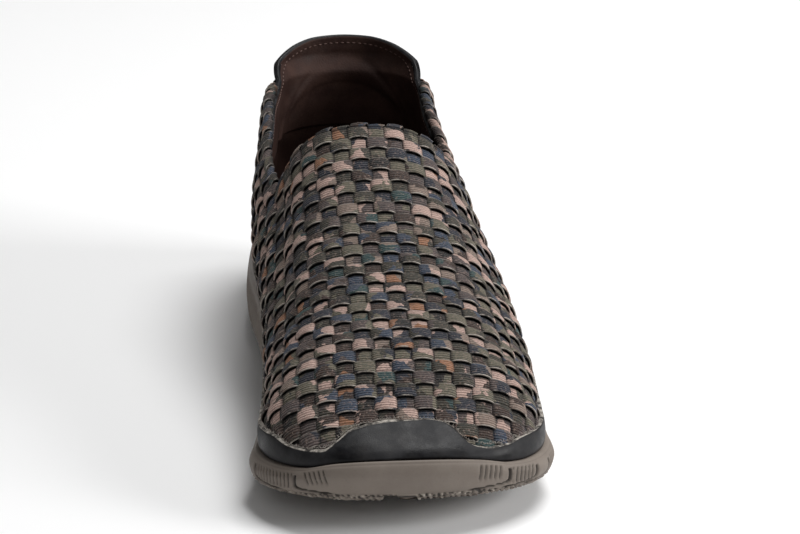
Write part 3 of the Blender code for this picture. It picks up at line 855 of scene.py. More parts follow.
@dataclass(frozen=True)
class LeatherFinish:
    """Smooth leather with grain, a cloudy sheen and a little dust."""

    name: str
    colour: Colour
    light: Colour
    cell: float
    depth: float
    roughness: Pair
    dust: float = 0.1
    gloss: float = 0.16
    patch: float = 90.0
    dust_colour: Colour = (0.16, 0.145, 0.13)

    def make(self, effects: Effects) -> Material:
        """Build the material."""
        material, nodes, finish = new_finish(self.name)
        sockets = {"Cell": self.cell, "Patch": self.patch}
        grain = nodes.add("ShaderNodeGroup", sockets, node_tree=effects.grain).outputs
        colour = nodes.mix(nodes.ramp(grain["Cloud"], 0.35, 0.7), self.colour, self.light)
        sockets = {"Color": colour, "Dust": (*self.dust_colour, 1.0), "Amount": self.dust}
        dust = nodes.add("ShaderNodeGroup", sockets, node_tree=effects.dust).outputs
        rough = nodes.ramp(grain["Cloud"], 0.3, 0.7, *self.roughness)
        sockets = {
            "Base Color": dust["Color"],
            "Normal": nodes.bump(grain["Height"], 0.35, self.depth),
            "Roughness": nodes.math("MULTIPLY_ADD", dust["Mask"], 0.3, rough),
            "Specular IOR Level": self.gloss,
        }
        nodes.feed(finish, sockets)
        return material


@dataclass(frozen=True)
class RubberFinish:
    """Matt moulded foam rubber with fine specks, painted shade in its low places and paler spots
    where its rough edge stands out.
    """

    name: str
    colour: Colour
    pale: Colour
    roughness: Pair = (0.56, 0.72)
    grit_depth: float = 0.15
    gloss: float = 0.3
    dust: float = 0.30
    speck_colour: Colour = (0.05, 0.045, 0.04)
    dust_colour: Colour = (0.215, 0.192, 0.165)
    # Paler colour where the rough edge stands out.
    stands_out_pale: Colour = (0.40, 0.36, 0.31)
    # Colour of the painted shade in grooves, slots, ribs and tooth gaps.
    shaded_gap: Colour = (0.016, 0.013, 0.011)

    def make(self, effects: Effects) -> Material:
        """Build the material."""
        material, nodes, finish = new_finish(self.name)
        place = nodes.place()
        cloud = nodes.ramp(nodes.noise(place, 60.0, 5.0, 0.6), 0.35, 0.7)
        speck = nodes.ramp(nodes.noise(place, 1500.0, 2.0), 0.55, 0.8, 0.0, 0.18)
        colour = nodes.mix(cloud, self.colour, self.pale)
        colour = nodes.mix(speck, colour, self.speck_colour)
        sockets = {"Color": colour, "Dust": (*self.dust_colour, 1.0), "Amount": self.dust}
        dust = nodes.add("ShaderNodeGroup", sockets, node_tree=effects.dust).outputs["Color"]
        # The 'dip' attribute holds painted shade for low places; below zero where the rough edge
        # stands out, painted paler.
        dip = nodes.attribute("dip")
        raised = nodes.math("MULTIPLY", dip, -1.0)
        coats = [
            (nodes.ramp(raised, 0.05, 0.9, 0.0, 0.7), self.stands_out_pale),
            (nodes.ramp(dip, 0.05, 1.0, 0.0, 0.86), self.shaded_gap),
        ]
        fine = nodes.noise(place, 2200.0, 3.0)
        grit = nodes.math("MULTIPLY_ADD", fine, 0.6, nodes.noise(place, 500.0, 3.0))
        sockets = {
            "Base Color": nodes.coat(dust, coats),
            "Normal": nodes.bump(grit, 0.25, self.grit_depth),
            "Roughness": nodes.ramp(cloud, 0.0, 1.0, *self.roughness),
            "Specular IOR Level": self.gloss,
        }
        nodes.feed(finish, sockets)
        return material


@dataclass(frozen=True)
class ThreadFinish:
    """Twisted sewing thread."""

    name: str
    colour: Colour
    paler: float = 1.7
    roughness: float = 0.7

    def make(self) -> Material:
        """Build the material."""
        material, nodes, finish = new_finish(self.name)
        twist = nodes.noise(nodes.place(), 3000.0, 2.0)
        pale = tuple(min(1.0, self.paler * part) for part in self.colour)
        colour = nodes.mix(twist, self.colour, pale)
        nodes.feed(finish, {"Base Color": colour, "Roughness": self.roughness})
        return material


class Weave:
    """The woven surface of the upper: where a row and a column of tapes lie on the last.

    Rows are counted from the toe tip to the throat and on to the back of the heel. Columns are
    counted from the ridge, below zero on the inner side of the foot.
    """

    row_pitch: float = 5.5
    half_columns: int = 14
    throat_columns: int = 7
    lean: float = 0.32
    lean_reach: float = 60.0
    vamp_fine: int = 4
    quarter_fine: int = 2
    level_steps: int = 6
    tip_rows: int = 3
    even_reach: float = 0.3

    def __init__(self, last: Last) -> None:
        """Work the surface out on a last."""
        self.last = last
        line, length = self.ridge_line()
        self.rows = round(length[-1] / self.row_pitch)
        fine = self.rows * self.vamp_fine
        starts = along(line, length, length[-1] * np.arange(fine + 1) / fine)
        self.curves = {side: [self.cross_row(p, side) for p in starts] for side in SIDES}
        self.pitch = {side: self.curves[side][-1][1][-1] / self.half_columns for side in SIDES}
        self.vamp = self.vamp_grid()
        self.vamp_normals = self.normals_of(self.vamp, 1)
        self.quarters: dict[int, Array] = {}
        self.quarter_normals: dict[int, Array] = {}
        level = self.curves[1][-1]
        middle = along(*level, (self.throat_columns + self.half_columns) // 2 * self.pitch[1])
        self.quarter_rows = round(self.level_line(middle[2], middle[1], 1)[1][-1] / self.row_pitch)
        for side in SIDES:
            self.quarters[side] = self.quarter_grid(side)
            self.quarter_normals[side] = self.normals_of(self.quarters[side], side)

    def ridge_line(self) -> tuple[Array, Array]:
        """The ridge from toe tip to throat as points, with its running length."""
        last = self.last
        share = np.linspace(0, 1, last.samples) ** 2
        station = last.toe_tip - (last.toe_tip - last.throat) * share
        height = np.maximum(last.ridge(station), last.seat_height(station))
        points = last.face(station, height, 1)
        return points, arc_length(points)

    def cross_row(self, start: Array, side: int) -> tuple[Array, Array]:
        """One cross row on one side, from the ridge down to the seat, with its length."""
        last = self.last
        reach = start[2] - last.rim(start[1]) + last.level_lift
        drop = np.linspace(0, 1, last.samples) ** 2 * reach

        def leaning(fall: Array) -> Array:
            """Station of the row at a fall below the ridge."""
            return start[1] - self.lean * self.lean_reach * (1 - np.exp(-fall / self.lean_reach))

        clear = start[2] - drop - last.rim(leaning(drop)) - last.seat_gap
        end = np.interp(0, -clear, drop)
        drop = np.append(drop[drop < end], end)
        station = leaning(drop)
        height = start[2] - drop
        points = last.face(station, height, side)
        points[0] = start
        return points, arc_length(points)

    def vamp_grid(self) -> Array:
        """Fine grid of the front of the upper, toe to throat and inner to outer side."""
        count = self.half_columns * self.vamp_fine
        grid = []
        for i in range(self.rows * self.vamp_fine + 1):
            halves = []
            for side in SIDES:
                place = np.arange(count + 1) / self.vamp_fine * self.pitch[side]
                halves.append(along(*self.curves[side][i], place))
            grid.append(np.concatenate([halves[0][:0:-1], halves[1]]))
        return self.last.to_frame(np.array(grid))

    def level_line(self, height: float, throat: float, side: int) -> tuple[Array, Array]:
        """Level line of the upper from the back to the throat, with its length."""
        last = self.last
        first = last.back(height)
        station = first + (throat - first) * np.linspace(0, 1, last.samples) ** 2
        level = np.full_like(station, height)
        points = last.face(station, level, side)
        return points, arc_length(points)

    def quarter_point(self, throat: Array, to_back: float, even: float, side: int) -> Array:
        """Point of the quarter on the way from a throat point round to the back.

        Args:
            throat: Point of the throat row.
            to_back: Share of the way round to the back.
            even: Share of the way up that the column takes behind the throat.
            side: 1 for the outer side, -1 for the inner one.

        Returns:
            The point in shoe coordinates.
        """
        last = self.last
        low = last.seat_height(throat[1])
        up = (throat[2] - low) / (last.collar(throat[1]) - low)
        up += (even - up) * min(1.0, to_back / self.even_reach)
        station = throat[1] * (1 - to_back)
        point = throat
        for _ in range(self.level_steps):
            low = last.seat_height(station)
            height = low + (last.collar(station) - low) * up
            points, lengths = self.level_line(height, throat[1], side)
            point = along(points, lengths, lengths[-1] * (1 - to_back))
            station = point[1]
        return point

    def quarter_grid(self, side: int) -> Array:
        """Grid of one quarter, throat to back and collar to seat."""
        fine = self.quarter_fine
        rows = self.quarter_rows * fine
        columns = (self.half_columns - self.throat_columns) * fine
        grid = np.zeros((rows + 1, columns + 1, 3))
        for j in range(columns + 1):
            place = (self.throat_columns + j / fine) * self.pitch[side]
            throat = along(*self.curves[side][-1], place)
            for i in range(rows + 1):
                even = 1 - j / columns
                grid[i, j] = self.quarter_point(throat, i / rows, even, side) if i else throat
        return self.last.to_frame(grid)

    def normals_of(self, grid: Array, side: int) -> Array:
        """Outward directions of a grid."""
        return side * unit(np.cross(np.gradient(grid, axis=1), np.gradient(grid, axis=0)))

    def base(self, row: Array, column: Array) -> tuple[Array, Array]:
        """Points and outward directions of the woven surface.

        Args:
            row: Row places.
            column: Column places, in the same shape.

        Returns:
            The points in the frame and the directions.
        """
        front = row <= self.rows
        u = np.minimum(row, self.rows) * self.vamp_fine
        v = (column + self.half_columns) * self.vamp_fine
        points = bilinear(self.vamp, u, v)
        normals = bilinear(self.vamp_normals, u, v)
        for side in SIDES:
            here = ~front & (np.sign(column) == side)
            u = (row[here] - self.rows) * self.quarter_fine
            v = (np.abs(column[here]) - self.throat_columns) * self.quarter_fine
            points[here] = bilinear(self.quarters[side], u, v)
            normals[here] = bilinear(self.quarter_normals[side], u, v)
        return points, unit(normals)

    def seat_column(self, row: float, side: int) -> float:
        """Columns from the ridge to the seat along a row."""
        if row >= self.rows:
            return float(self.half_columns)
        i = int(np.clip(round(row * self.vamp_fine), 0, self.rows * self.vamp_fine))
        return min(self.curves[side][i][1][-1] / self.pitch[side], float(self.half_columns))

    def crosses_over(self, row: Array, column: Array) -> Array:
        """Whether the cross tape lies on top in a cell."""
        return (np.asarray(row, int) + self.tip_rows + np.asarray(column, int)) % 2 == 0


@dataclass
class WovenUpper:
    """The upper: cross tapes and long tapes woven over and under, folded in at the opening."""

    weave: Weave
    cross_rise: float = 1.2
    cross_dip: float = 0.7
    cross_share: float = 1.2
    long_rise: float = 0.3
    long_dip: float = 0.9
    long_share: float = 0.9
    squareness: float = 0.5
    tape_thickness: float = 0.7
    edge_fall: float = 0.34
    tilt: float = 1.05
    uneven: float = 0.22
    cross_width: float = 1.08
    long_width: float = 0.84
    fold_radius: float = 1.2
    fold_rise: float = 0.55
    fold_length: float = 3.6
    fold_slant: float = 2.6
    fold_near: float = 0.45
    fold_taper: float = 0.4
    fold_turns: Row = (36.0, 72.0, 108.0, 144.0, 180.0)
    fold_legs: Row = (0.5, 1.0)
    per_cell: int = 8
    seed: int = 41
    lining_gap: float = 1.75
    lining_thickness: float = 0.6
    lining_points: int = 25
    tuck: float = 0.3
    # Strengths of the painted shade on the tapes: where they go under, at edges and at cell ends.
    cross_dark: float = 0.95
    cross_edge_dark: float = 0.3
    long_base_dark: float = 0.06
    long_dark: float = 0.8
    long_end_dark: float = 0.6
    long_edge_dark: float = 0.15
    across: Row = (-0.5, -0.41, 0.0, 0.41, 0.5)

    def __post_init__(self) -> None:
        """Draw the unevenness of every cell once."""
        rows = self.weave.rows + self.weave.quarter_rows + 1
        shape = (rows, 2 * self.weave.half_columns + 1)
        self.drawn = np.random.default_rng(self.seed + 2).uniform(-1, 1, shape)

    def vary(self, row: Array, column: Array) -> Array:
        """Unevenness of cells, from -1 to 1."""
        place = np.asarray(column) + self.weave.half_columns
        return self.drawn[np.asarray(row), np.clip(place, 0, self.drawn.shape[1] - 1)]

    def wave(self, place: Array, over: Array, rise: Array, dip: float, wide: float) -> Array:
        """Height of a tape's middle along its run: up over one tape and down under the next.

        Args:
            place: Places along the run, in cells.
            over: Whether the tape lies on top in each place's cell.
            rise: Height on top.
            dip: Depth underneath.
            wide: Length on top, in cells.

        Returns:
            The heights.
        """
        share = np.abs(place - np.floor(place) - 0.5)
        from_top = np.where(over, share, 1 - share)
        up = np.clip(np.cos(np.pi * from_top / wide), 0, 1) ** self.squareness
        down = np.clip(np.cos(np.pi * (1 - from_top) / (2 - wide)), 0, 1) ** self.squareness
        return np.where(from_top < wide / 2, rise * up, -dip * down)

    def fold(self, top: Array, normals: Array) -> tuple[Array, Array]:
        """Carry a tape on round its folded end and down inside.

        Args:
            top: Points of the tape's face by run and across.
            normals: Outward directions there.

        Returns:
            The points and directions with the fold added at the end of the run.
        """
        way = unit(top[-1] - top[-3])
        out = unit(normals[-1] - way * np.sum(normals[-1] * way, axis=-1, keepdims=True))
        radius = self.fold_radius + self.fold_rise
        centre = top[-1] - out * radius
        points, turned = [], []
        beside = unit(top[-1, -1] - top[-1, 0])
        for angle in np.radians(self.fold_turns):
            turn = math.cos(angle) * out + math.sin(angle) * way
            slant = self.fold_slant * angle / math.pi * beside
            points.append(centre + radius * turn + slant)
            turned.append(turn)
        for down in self.fold_legs:
            sunk = way * self.fold_length * down - self.fold_slant * beside
            points.append(centre - radius * (1 - self.fold_taper * down) * out - sunk)
            turned.append(-out)
        return np.concatenate([top, points]), np.concatenate([normals, turned])

    def lay(
        self,
        work: Patchwork,
        top: Array,
        normals: Array,
        widths: Array,
        seed: float,
        painted_shades: Array,
    ) -> None:
        """Give a tape its thickness and add it to the piece.

        Args:
            work: Where the tape is added.
            top: Points of its face by run and across.
            normals: Outward directions there.
            widths: Distance of each point from the tape's middle.
            seed: Number that picks the tape's stretch of the print.
            painted_shades: Painted shade of each point, 0 to 1, by how deep it lies in the weave,
                up to the fold.
        """
        under = top - normals * self.tape_thickness
        low = under[:, [len(self.across) - 1, len(self.across) // 2, 0]]
        rings = np.concatenate([top, low], axis=1)
        run = arc_length(top[:, len(self.across) // 2])
        work.add_rings(rings, False)
        columns = [*widths, widths[-1], 0.0, widths[0]]
        place = np.stack(np.meshgrid(run, columns, indexing="ij"), axis=-1) / MAP_SCALE
        work.map.append(place.reshape(-1, 2))
        work.seeds.append(np.full(len(run) * len(columns), seed))
        # Painted shade: the underside is dark, and the fold darkens as it goes in.
        sunk = np.ones((len(run), len(columns)))
        sunk[: len(painted_shades), : len(self.across)] = np.clip(painted_shades, 0, 1)
        rest = len(run) - len(painted_shades)
        sunk[len(painted_shades) :, : len(self.across)] = np.linspace(0.1, 1.0, rest)[:, None] if rest else 0
        work.painted_shades.append(sunk.ravel())

    def cross_tape(
        self, work: Patchwork, row: int, columns: Array, folded: bool, seed: float
    ) -> None:
        """One tape across the foot.

        Args:
            work: Where the tape is added.
            row: Row of cells that it runs in.
            columns: Column places along its run.
            folded: Whether its end is folded in at the collar.
            seed: Number that picks the tape's stretch of the print.
        """
        across = np.array(self.across)
        cell = np.floor(columns - 1e-9 * np.sign(columns)).astype(int)
        over = self.weave.crosses_over(np.full_like(cell, row), cell)
        uneven = self.vary(np.full_like(cell, row), cell)
        rise = self.cross_rise * (1 + self.uneven * uneven)
        height = self.wave(columns, over, rise, self.cross_dip, self.cross_share)
        if folded:
            mouth = self.weave.throat_columns
            near = ramp_up(np.abs(columns), mouth + self.fold_near, mouth)
            height = height * (1 - near) + self.fold_rise * near
        rows = row + 0.5 + across * self.cross_width
        row_grid, column_grid = np.meshgrid(rows, columns, indexing="ij")
        if row < self.weave.rows:
            row_grid = np.minimum(row_grid, self.weave.rows - 1e-6)
        else:
            end = self.weave.rows + self.weave.quarter_rows
            row_grid = np.clip(row_grid, self.weave.rows + 1e-6, end)
        points, normals = self.weave.base(row_grid.T.copy(), column_grid.T.copy())
        lifted = np.clip(height, 0, None) / self.cross_rise
        relief = height[:, None] - self.edge_fall * (2 * across[None, :]) ** 2
        lean = self.tilt * (1 - 0.5 * uneven)
        relief = relief - lean[:, None] * across[None, :] * lifted[:, None]
        top = points + normals * relief[..., None]
        # Painted shade: dark where the tape goes under, and along its sunk throat-side edge.
        painted_shades = self.cross_dark * (1 - ramp_up(lifted, 0.1, 0.6))[:, None]
        painted_shades = painted_shades + self.cross_edge_dark * ramp_up(across, 0.25, 0.5)[None, :]
        if folded:
            top, normals = self.fold(top, normals)
        widths = across * self.cross_width * self.weave.row_pitch
        self.lay(work, top, normals, widths, seed, painted_shades)

    def long_tape(
        self, work: Patchwork, column: int, rows: Array, folded: bool, seed: float
    ) -> None:
        """One tape along the foot.

        Args:
            work: Where the tape is added.
            column: Column of cells that it runs in.
            rows: Row places along its run.
            folded: Whether its end is folded in at the throat.
            seed: Number that picks the tape's stretch of the print.
        """
        across = np.array(self.across)
        cell = np.floor(rows - 1e-9).astype(int)
        over = ~self.weave.crosses_over(cell, np.full_like(cell, column))
        height = self.wave(rows, over, self.long_rise, self.long_dip, self.long_share)
        if folded:
            near = ramp_up(rows, self.weave.rows - self.fold_near, self.weave.rows)
            height = height * (1 - near) + self.fold_rise * near
        columns = column + 0.5 + across * self.long_width
        row_grid, column_grid = np.meshgrid(rows, columns, indexing="ij")
        points, normals = self.weave.base(row_grid, column_grid)
        relief = height[:, None] - self.edge_fall * (2 * across[None, :]) ** 2
        top = points + normals * relief[..., None]
        # Painted shade: a little on the whole tape, dark where it goes under, at the end of each
        # cell under the next cross tape's edge, and along its edges.
        lifted = np.clip(height, 0, None) / self.long_rise
        part = rows - np.floor(rows - 1e-9)
        painted_shades = self.long_base_dark + self.long_dark * (1 - ramp_up(lifted, 0.0, 0.45))
        painted_shades = painted_shades + self.long_end_dark * ramp_up(part, 0.6, 0.95)
        edge_dark = self.long_edge_dark * ramp_up(np.abs(across), 0.3, 0.5)
        painted_shades = painted_shades[:, None] + edge_dark[None, :]
        if folded:
            top, normals = self.fold(top, normals)
        side = 1 if column >= 0 else -1
        widths = across * self.long_width * self.weave.pitch[side]
        self.lay(work, top, normals, widths, seed, painted_shades)

    def runs(self, start: float, end: float) -> Array:
        """Places along a run, a fixed number to each cell."""
        count = max(2, round(abs(end - start) * self.per_cell))
        return np.linspace(start, end, count + 1)

    def build_cross_tapes(self, finish: Material) -> Piece:
        """All the tapes across the foot as one piece."""
        weave = self.weave
        work = Patchwork()
        seeds = np.random.default_rng(self.seed).random(weave.rows + 2 * weave.quarter_rows)
        for row in range(1, weave.rows):
            ends = [side * weave.seat_column(row + 0.5, side) for side in SIDES]
            self.cross_tape(work, row, self.runs(*ends), False, seeds[row])
        for number, side in enumerate(SIDES):
            for place in range(weave.quarter_rows):
                run = self.runs(side * weave.half_columns, side * weave.throat_columns)
                seed = seeds[weave.rows + number * weave.quarter_rows + place]
                self.cross_tape(work, weave.rows + place, run, True, seed)
        return work.make("cross_tapes", [finish])

    def build_long_tapes(self, finish: Material) -> Piece:
        """All the tapes along the foot as one piece."""
        weave = self.weave
        work = Patchwork()
        seeds = np.random.default_rng(self.seed + 1).random(2 * weave.half_columns)
        for column in range(-weave.half_columns, weave.half_columns):
            side = 1 if column >= 0 else -1
            number = column + 0.5
            places = np.arange(0, weave.rows, 0.25)
            reach = abs(number) - self.tuck
            start = next(r for r in places if weave.seat_column(r, side) > reach)
            ends_at_throat = abs(number) < weave.throat_columns
            end = weave.rows if ends_at_throat else weave.rows + weave.quarter_rows
            seed = seeds[column + weave.half_columns]
            self.long_tape(work, column, self.runs(start, end), ends_at_throat, seed)
        return work.make("long_tapes", [finish])

    def build_lining(self, finish: Material) -> Piece:
        """Thin lining behind the tapes."""
        weave = self.weave
        work = Patchwork()
        share = np.linspace(0, 1, self.lining_points)
        rows = []
        for i in range(2, weave.rows * weave.vamp_fine + 1, 2):
            halves = []
            for side in SIDES:
                points, lengths = weave.curves[side][i]
                halves.append(along(points, lengths, share * lengths[-1]))
            rows.append(np.concatenate([halves[0][:0:-1], halves[1]]))
        grid = weave.last.to_frame(np.array(rows))
        self.line_with(work, grid, weave.normals_of(grid, 1))
        for side in SIDES:
            self.line_with(work, weave.quarters[side], weave.quarter_normals[side])
        return work.make("weave_lining", [finish])

    def line_with(self, work: Patchwork, grid: Array, normals: Array) -> None:
        """Add one panel of the lining under a grid of the surface."""
        last = self.weave.last
        level = last.laid_level(normals, grid[..., 2] - last.seat_under(grid))
        outer = last.over_sole(grid - self.lining_gap * level)
        inner = last.over_sole(grid - (self.lining_gap + self.lining_thickness) * level)
        work.add_rings(shell(inner, outer), False)


RAND_AT = (0, 10, 18.5, 22.5, 26.5, 31, 40, 50, 62, 85, 130, 200, 260, 340)


@dataclass
class LeatherRand:
    """The leather band round the upper's foot, with its scalloped cap at the toe."""

    seat: SeatLine
    step: float = 1.5
    skin: float = 0.35
    edge_wander: float = 0.44
    raw_wander: float = 0.5
    smooth_over: int = 7
    fray_reach: float = 62.0
    fray_out: float = 1.2
    fray_pitch: float = 0.26
    fray_length: float = 1.3
    fray_radius: float = 0.10
    seed: int = 7
    inner: Curve = Curve(
        RAND_AT, (9.0, 8.9, 8.9, 7.4, 5.8, 5.8, 6.6, 8.6, 8.6, 7.8, 8.5, 9.0, 9.5, 10.0)
    )
    outer: Curve = Curve(
        RAND_AT, (9.0, 8.9, 8.6, 7.4, 5.0, 4.9, 5.6, 7.0, 7.2, 7.4, 8.5, 9.0, 9.5, 10.0)
    )
    inner_raw: Curve = Curve(
        (0, 8, 16, 22, 28, 36, 48, 60, 80, 340), (0.9, 1.0, 1.3, 1.5, 1.1, 0.6, 0.6, 0.7, 0.3, 0.2)
    )
    outer_raw: Curve = Curve(
        (0, 6, 14, 22, 30, 38, 48, 58, 80, 340), (0.9, 0.7, 0.35, 0.4, 0.8, 0.8, 0.6, 0.3, 0.2, 0.2)
    )
    outs: Row = (2.0, 2.2, 2.35, 2.35, 2.25, 2.15, 2.0, 1.75, 1.3, 0.6)
    shares: Row = (0.0, 0.09, 0.28, 0.52, 0.76, 0.93, 1.0, 1.0, 1.0, 1.0)
    raw_part: Row = (0.0, 0.0, 0.0, 0.0, 0.0, 0.0, 0.0, 0.5, 0.9, 1.0)

    def by_side(self, outer: Curve, inner: Curve, distance: Array) -> Array:
        """Value of the two sides' curves at places of the seat line."""
        from_toe = self.seat.from_toe(distance)
        on_outer = np.mod(distance, self.seat.total) < self.seat.to_back
        return np.where(on_outer, outer(from_toe), inner(from_toe))

    def top(self, distance: Array) -> Array:
        """Height of the rand's top edge over the floor."""
        return self.seat.at(distance)[..., 2] + self.by_side(self.outer, self.inner, distance)

    def foot(self, distance: Array) -> Array:
        """Height of the sole's rim under the band."""
        last = self.seat.last
        under = self.seat.at(distance) - self.outs[0] * self.seat.inward(distance)
        low = last.seat_height(np.minimum(under[..., 1], last.length))
        return np.maximum(low, self.seat.at(distance)[..., 2])

    def wander(self, count: int) -> Array:
        """Smooth random unevenness of the closed edge."""
        drawn = np.random.default_rng(self.seed).normal(size=count)
        ends = self.smooth_over // 2
        looped = np.concatenate([drawn[-ends:], drawn, drawn[:ends]])
        return np.convolve(looped, np.ones(self.smooth_over) / self.smooth_over, "valid")

    def build(self, finish: Material, raw_edge: Material) -> Piece:
        """Make the band with its pale raw edge."""
        last = self.seat.last
        count = round(self.seat.total / self.step)
        distance = np.arange(count)[:, None] * self.seat.total / count
        foot = self.foot(distance)
        rough = self.wander(count)[:, None]
        top = self.top(distance) + self.edge_wander * rough
        raw = self.by_side(self.outer_raw, self.inner_raw, distance)
        raw = raw * (1 + self.raw_wander * rough)
        outs = np.array(self.outs)[None, :, None]
        clear = top - raw - foot
        height = foot + clear * np.array(self.shares) + raw * np.array(self.raw_part)
        place = np.broadcast_to(distance, height.shape)
        grid = last.to_frame(self.seat.wall(place, height))
        plain = np.linspace(0, 1, len(self.outs))[None, :]
        even_height = foot + (top - foot) * plain
        even_place = np.broadcast_to(distance, even_height.shape)
        even_grid = last.to_frame(self.seat.wall(even_place, even_height))
        normals = grid_normals(even_grid, True)
        picked = (np.array(self.shares) * (len(self.outs) - 1)).round().astype(int)
        level = self.seat.inward(place) * np.array([-1, 1, 0])
        near = np.clip(1 - (height - foot) / last.level_lift, 0, 1)[..., None]
        normals = unit(normals[:, picked] * (1 - near) + level * near)
        outer = last.over_sole(grid + outs * normals)
        kept = [0, len(self.outs) // 2 - 1, -1]
        inner = last.over_sole(grid[:, kept] + self.skin * normals[:, kept])
        rings = shell(inner, outer)
        plain_strips = self.shares.index(1.0)
        raw_strips = len(self.outs) - plain_strips
        kinds = [0] * plain_strips + [1] * raw_strips + [0] * len(kept)
        return tube("leather_rand", rings, True, [finish, raw_edge], kinds)

    def build_fray(self, finish: Material) -> Piece:
        """Frayed fibres of the tapes along the top edge round the toe."""
        place = np.arange(-self.fray_reach, self.fray_reach, 0.5)[:, None]
        height = self.top(place) + np.array([-1.0, 0.1])
        grid = self.seat.last.to_frame(self.seat.wall(place + 0 * height, height))
        line = (grid + self.fray_out * grid_normals(grid, False))[:, 1]
        sizes = {"Pitch": self.fray_pitch, "Length": self.fray_length, "Radius": self.fray_radius}
        return FrayRun().lay("rand_fray", line, sizes, finish)


@dataclass
class HeelTab:
    """The heel tab: lining leather inside, dark leather behind, bound along its free edge."""

    seat: SeatLine
    foot: float = 62.0
    wall: float = 2.2
    thickness: float = 2.2
    clear: float = 2.2
    flare_rise: float = 3.0
    flare_most: float = 1.8
    binding: float = 1.05
    padding: float = 1.3
    crease: float = 0.75
    stitch_in: float = 2.7
    stitch_pitch: float = 2.3
    stitch_length: float = 1.5
    stitch_radius: float = 0.26
    stitch_lift: float = 0.12
    binding_over: float = 0.4
    binding_sides: int = 12
    edge_samples: int = 400
    leg_samples: int = 30
    edge_step: float = 0.8
    edge_smooth: int = 8
    creased: float = 70.0
    thinnest: float = 1.4
    arch: float = 18.0
    swells: tuple[Span, ...] = ((1.0, 13.0, 3.0, 5.0), (-0.35, 24.0, 0.0, 4.0))
    folds: tuple[Span, ...] = ((1.0, 7.4, 4.6, 1.3), (0.7, 19.0, 3.0, 1.5))
    top: Curve = Curve(
        (0, 12, 23, 32, 38, 44, 50, 57, 68, 80, 92, 104),
        (99.0, 98.6, 97.0, 94.6, 92.6, 90.2, 88.2, 87.0, 87.4, 87.2, 84.6, 81.0),
    )
    columns: int = 161
    levels: int = 44

    def surface(self, offset: Array, height: Array) -> tuple[Array, Array]:
        """Points of the upper's face behind the tab, with outward directions.

        Args:
            offset: Distances round the heel from its back.
            height: Heights over the floor, in the same shape.

        Returns:
            The points in the frame and the directions.
        """
        last = self.seat.last
        step = 0.5

        def at(aside: float, up: float) -> Array:
            """Points a little aside and higher."""
            wall = self.seat.wall(self.seat.to_back + offset + aside, height + up)
            return last.to_frame(wall)

        round_step = at(step, 0.0) - at(-step, 0.0)
        up_step = at(0.0, step) - at(0.0, -step)
        return at(0.0, 0.0), unit(np.cross(round_step, up_step))

    def faces(self, offset: Array, height: Array) -> tuple[Array, Array]:
        """Points of the tab's back and of its padded, creased lining."""
        last = self.seat.last
        wall, normals = self.surface(offset, height)
        over = height - last.collar(last.length / 2 - wall[..., 1])
        lean = (over - self.clear) / self.flare_rise
        lean = np.clip(lean, 0, self.flare_most)[..., None]
        back = wall - self.wall * (1 - lean) * normals
        below = self.top(np.abs(offset)) - height
        arch = (offset / self.arch) ** 2

        def waves(rows: tuple[Span, ...]) -> Array:
            """Sum of arched waves, each by height, place below the edge, bend and width."""
            return sum(high * bump(below, at + bend * arch, wide) for high, at, bend, wide in rows)

        swell = waves(self.swells)
        folds = waves(self.folds) + 0.5 * bump(below, 30.0 + 2.0 * np.cos(offset / 9.0), 1.2)
        fade = ramp_up(self.creased - np.abs(offset), 3.0, 22.0) * ramp_up(below, 2.0, 6.0)
        inside = self.thickness + (self.padding * swell - self.crease * folds) * fade
        inside = np.maximum(inside, np.where(over < self.clear, self.thickness, self.thinnest))
        return back, back - inside[..., None] * normals

    def build(self, outer: Material, lining: Material) -> Piece:
        """Make the tab's two leathers."""
        reach = self.top.places[-1]
        offset = np.linspace(-reach, reach, self.columns)[:, None]
        level = np.linspace(0, 1, self.levels)[None, :]
        height = self.foot + (self.top(np.abs(offset)) - self.foot) * level
        back, front = self.faces(np.broadcast_to(offset, height.shape), height)
        kinds = [0] * self.levels + [1] * (self.levels - 1) + [0]
        return tube("tab_leather", shell(front, back), False, [outer, lining], kinds)

    def edge_line(self, inset: float, depth: float) -> Array:
        """Line along the free edge, a little way in from it.

        Args:
            inset: Distance from the edge.
            depth: Share of the tab's thickness, 0 at its back and 1 at its lining.

        Returns:
            Points from the outer side of the foot round to the inner one.
        """
        reach = self.top.places[-1]
        across = np.linspace(-reach, reach, self.edge_samples)
        leg = np.linspace(self.foot, self.top(reach), self.leg_samples)[:-1]
        up = vectors_of(np.full_like(leg, -reach), leg)
        over = vectors_of(across, self.top(np.abs(across)))
        edge = np.concatenate([up, over, (up * (-1, 1))[::-1]])
        lengths = arc_length(edge)
        count = round(lengths[-1] / self.edge_step)
        edge = along(edge, lengths, np.linspace(0, lengths[-1], count))
        for _ in range(self.edge_smooth):
            edge[1:-1] = (edge[:-2] + 2 * edge[1:-1] + edge[2:]) / 4
        way = unit(np.gradient(edge, axis=0))
        edge = edge + inset * vectors_of(way[:, 1], -way[:, 0])
        back, front = self.faces(edge[:, 0], edge[:, 1])
        return back + (front - back) * depth

    def build_binding(self, finish: Material) -> Piece:
        """Rounded leather binding along the free edge."""
        even = self.edge_line(self.binding, 0.5)
        way = unit(np.gradient(even, axis=0))
        inward = unit(even.mean(axis=0) - even)
        side = unit(np.cross(way, inward))
        up = unit(np.cross(side, way))
        angle = np.linspace(0, 2 * np.pi, self.binding_sides, endpoint=False)
        wide = self.thickness / 2 + self.binding_over
        rings = (
            even[:, None]
            + wide * np.cos(angle)[None, :, None] * side[:, None]
            + self.binding * np.sin(angle)[None, :, None] * up[:, None]
        )
        return tube("tab_binding", rings, False, [finish])

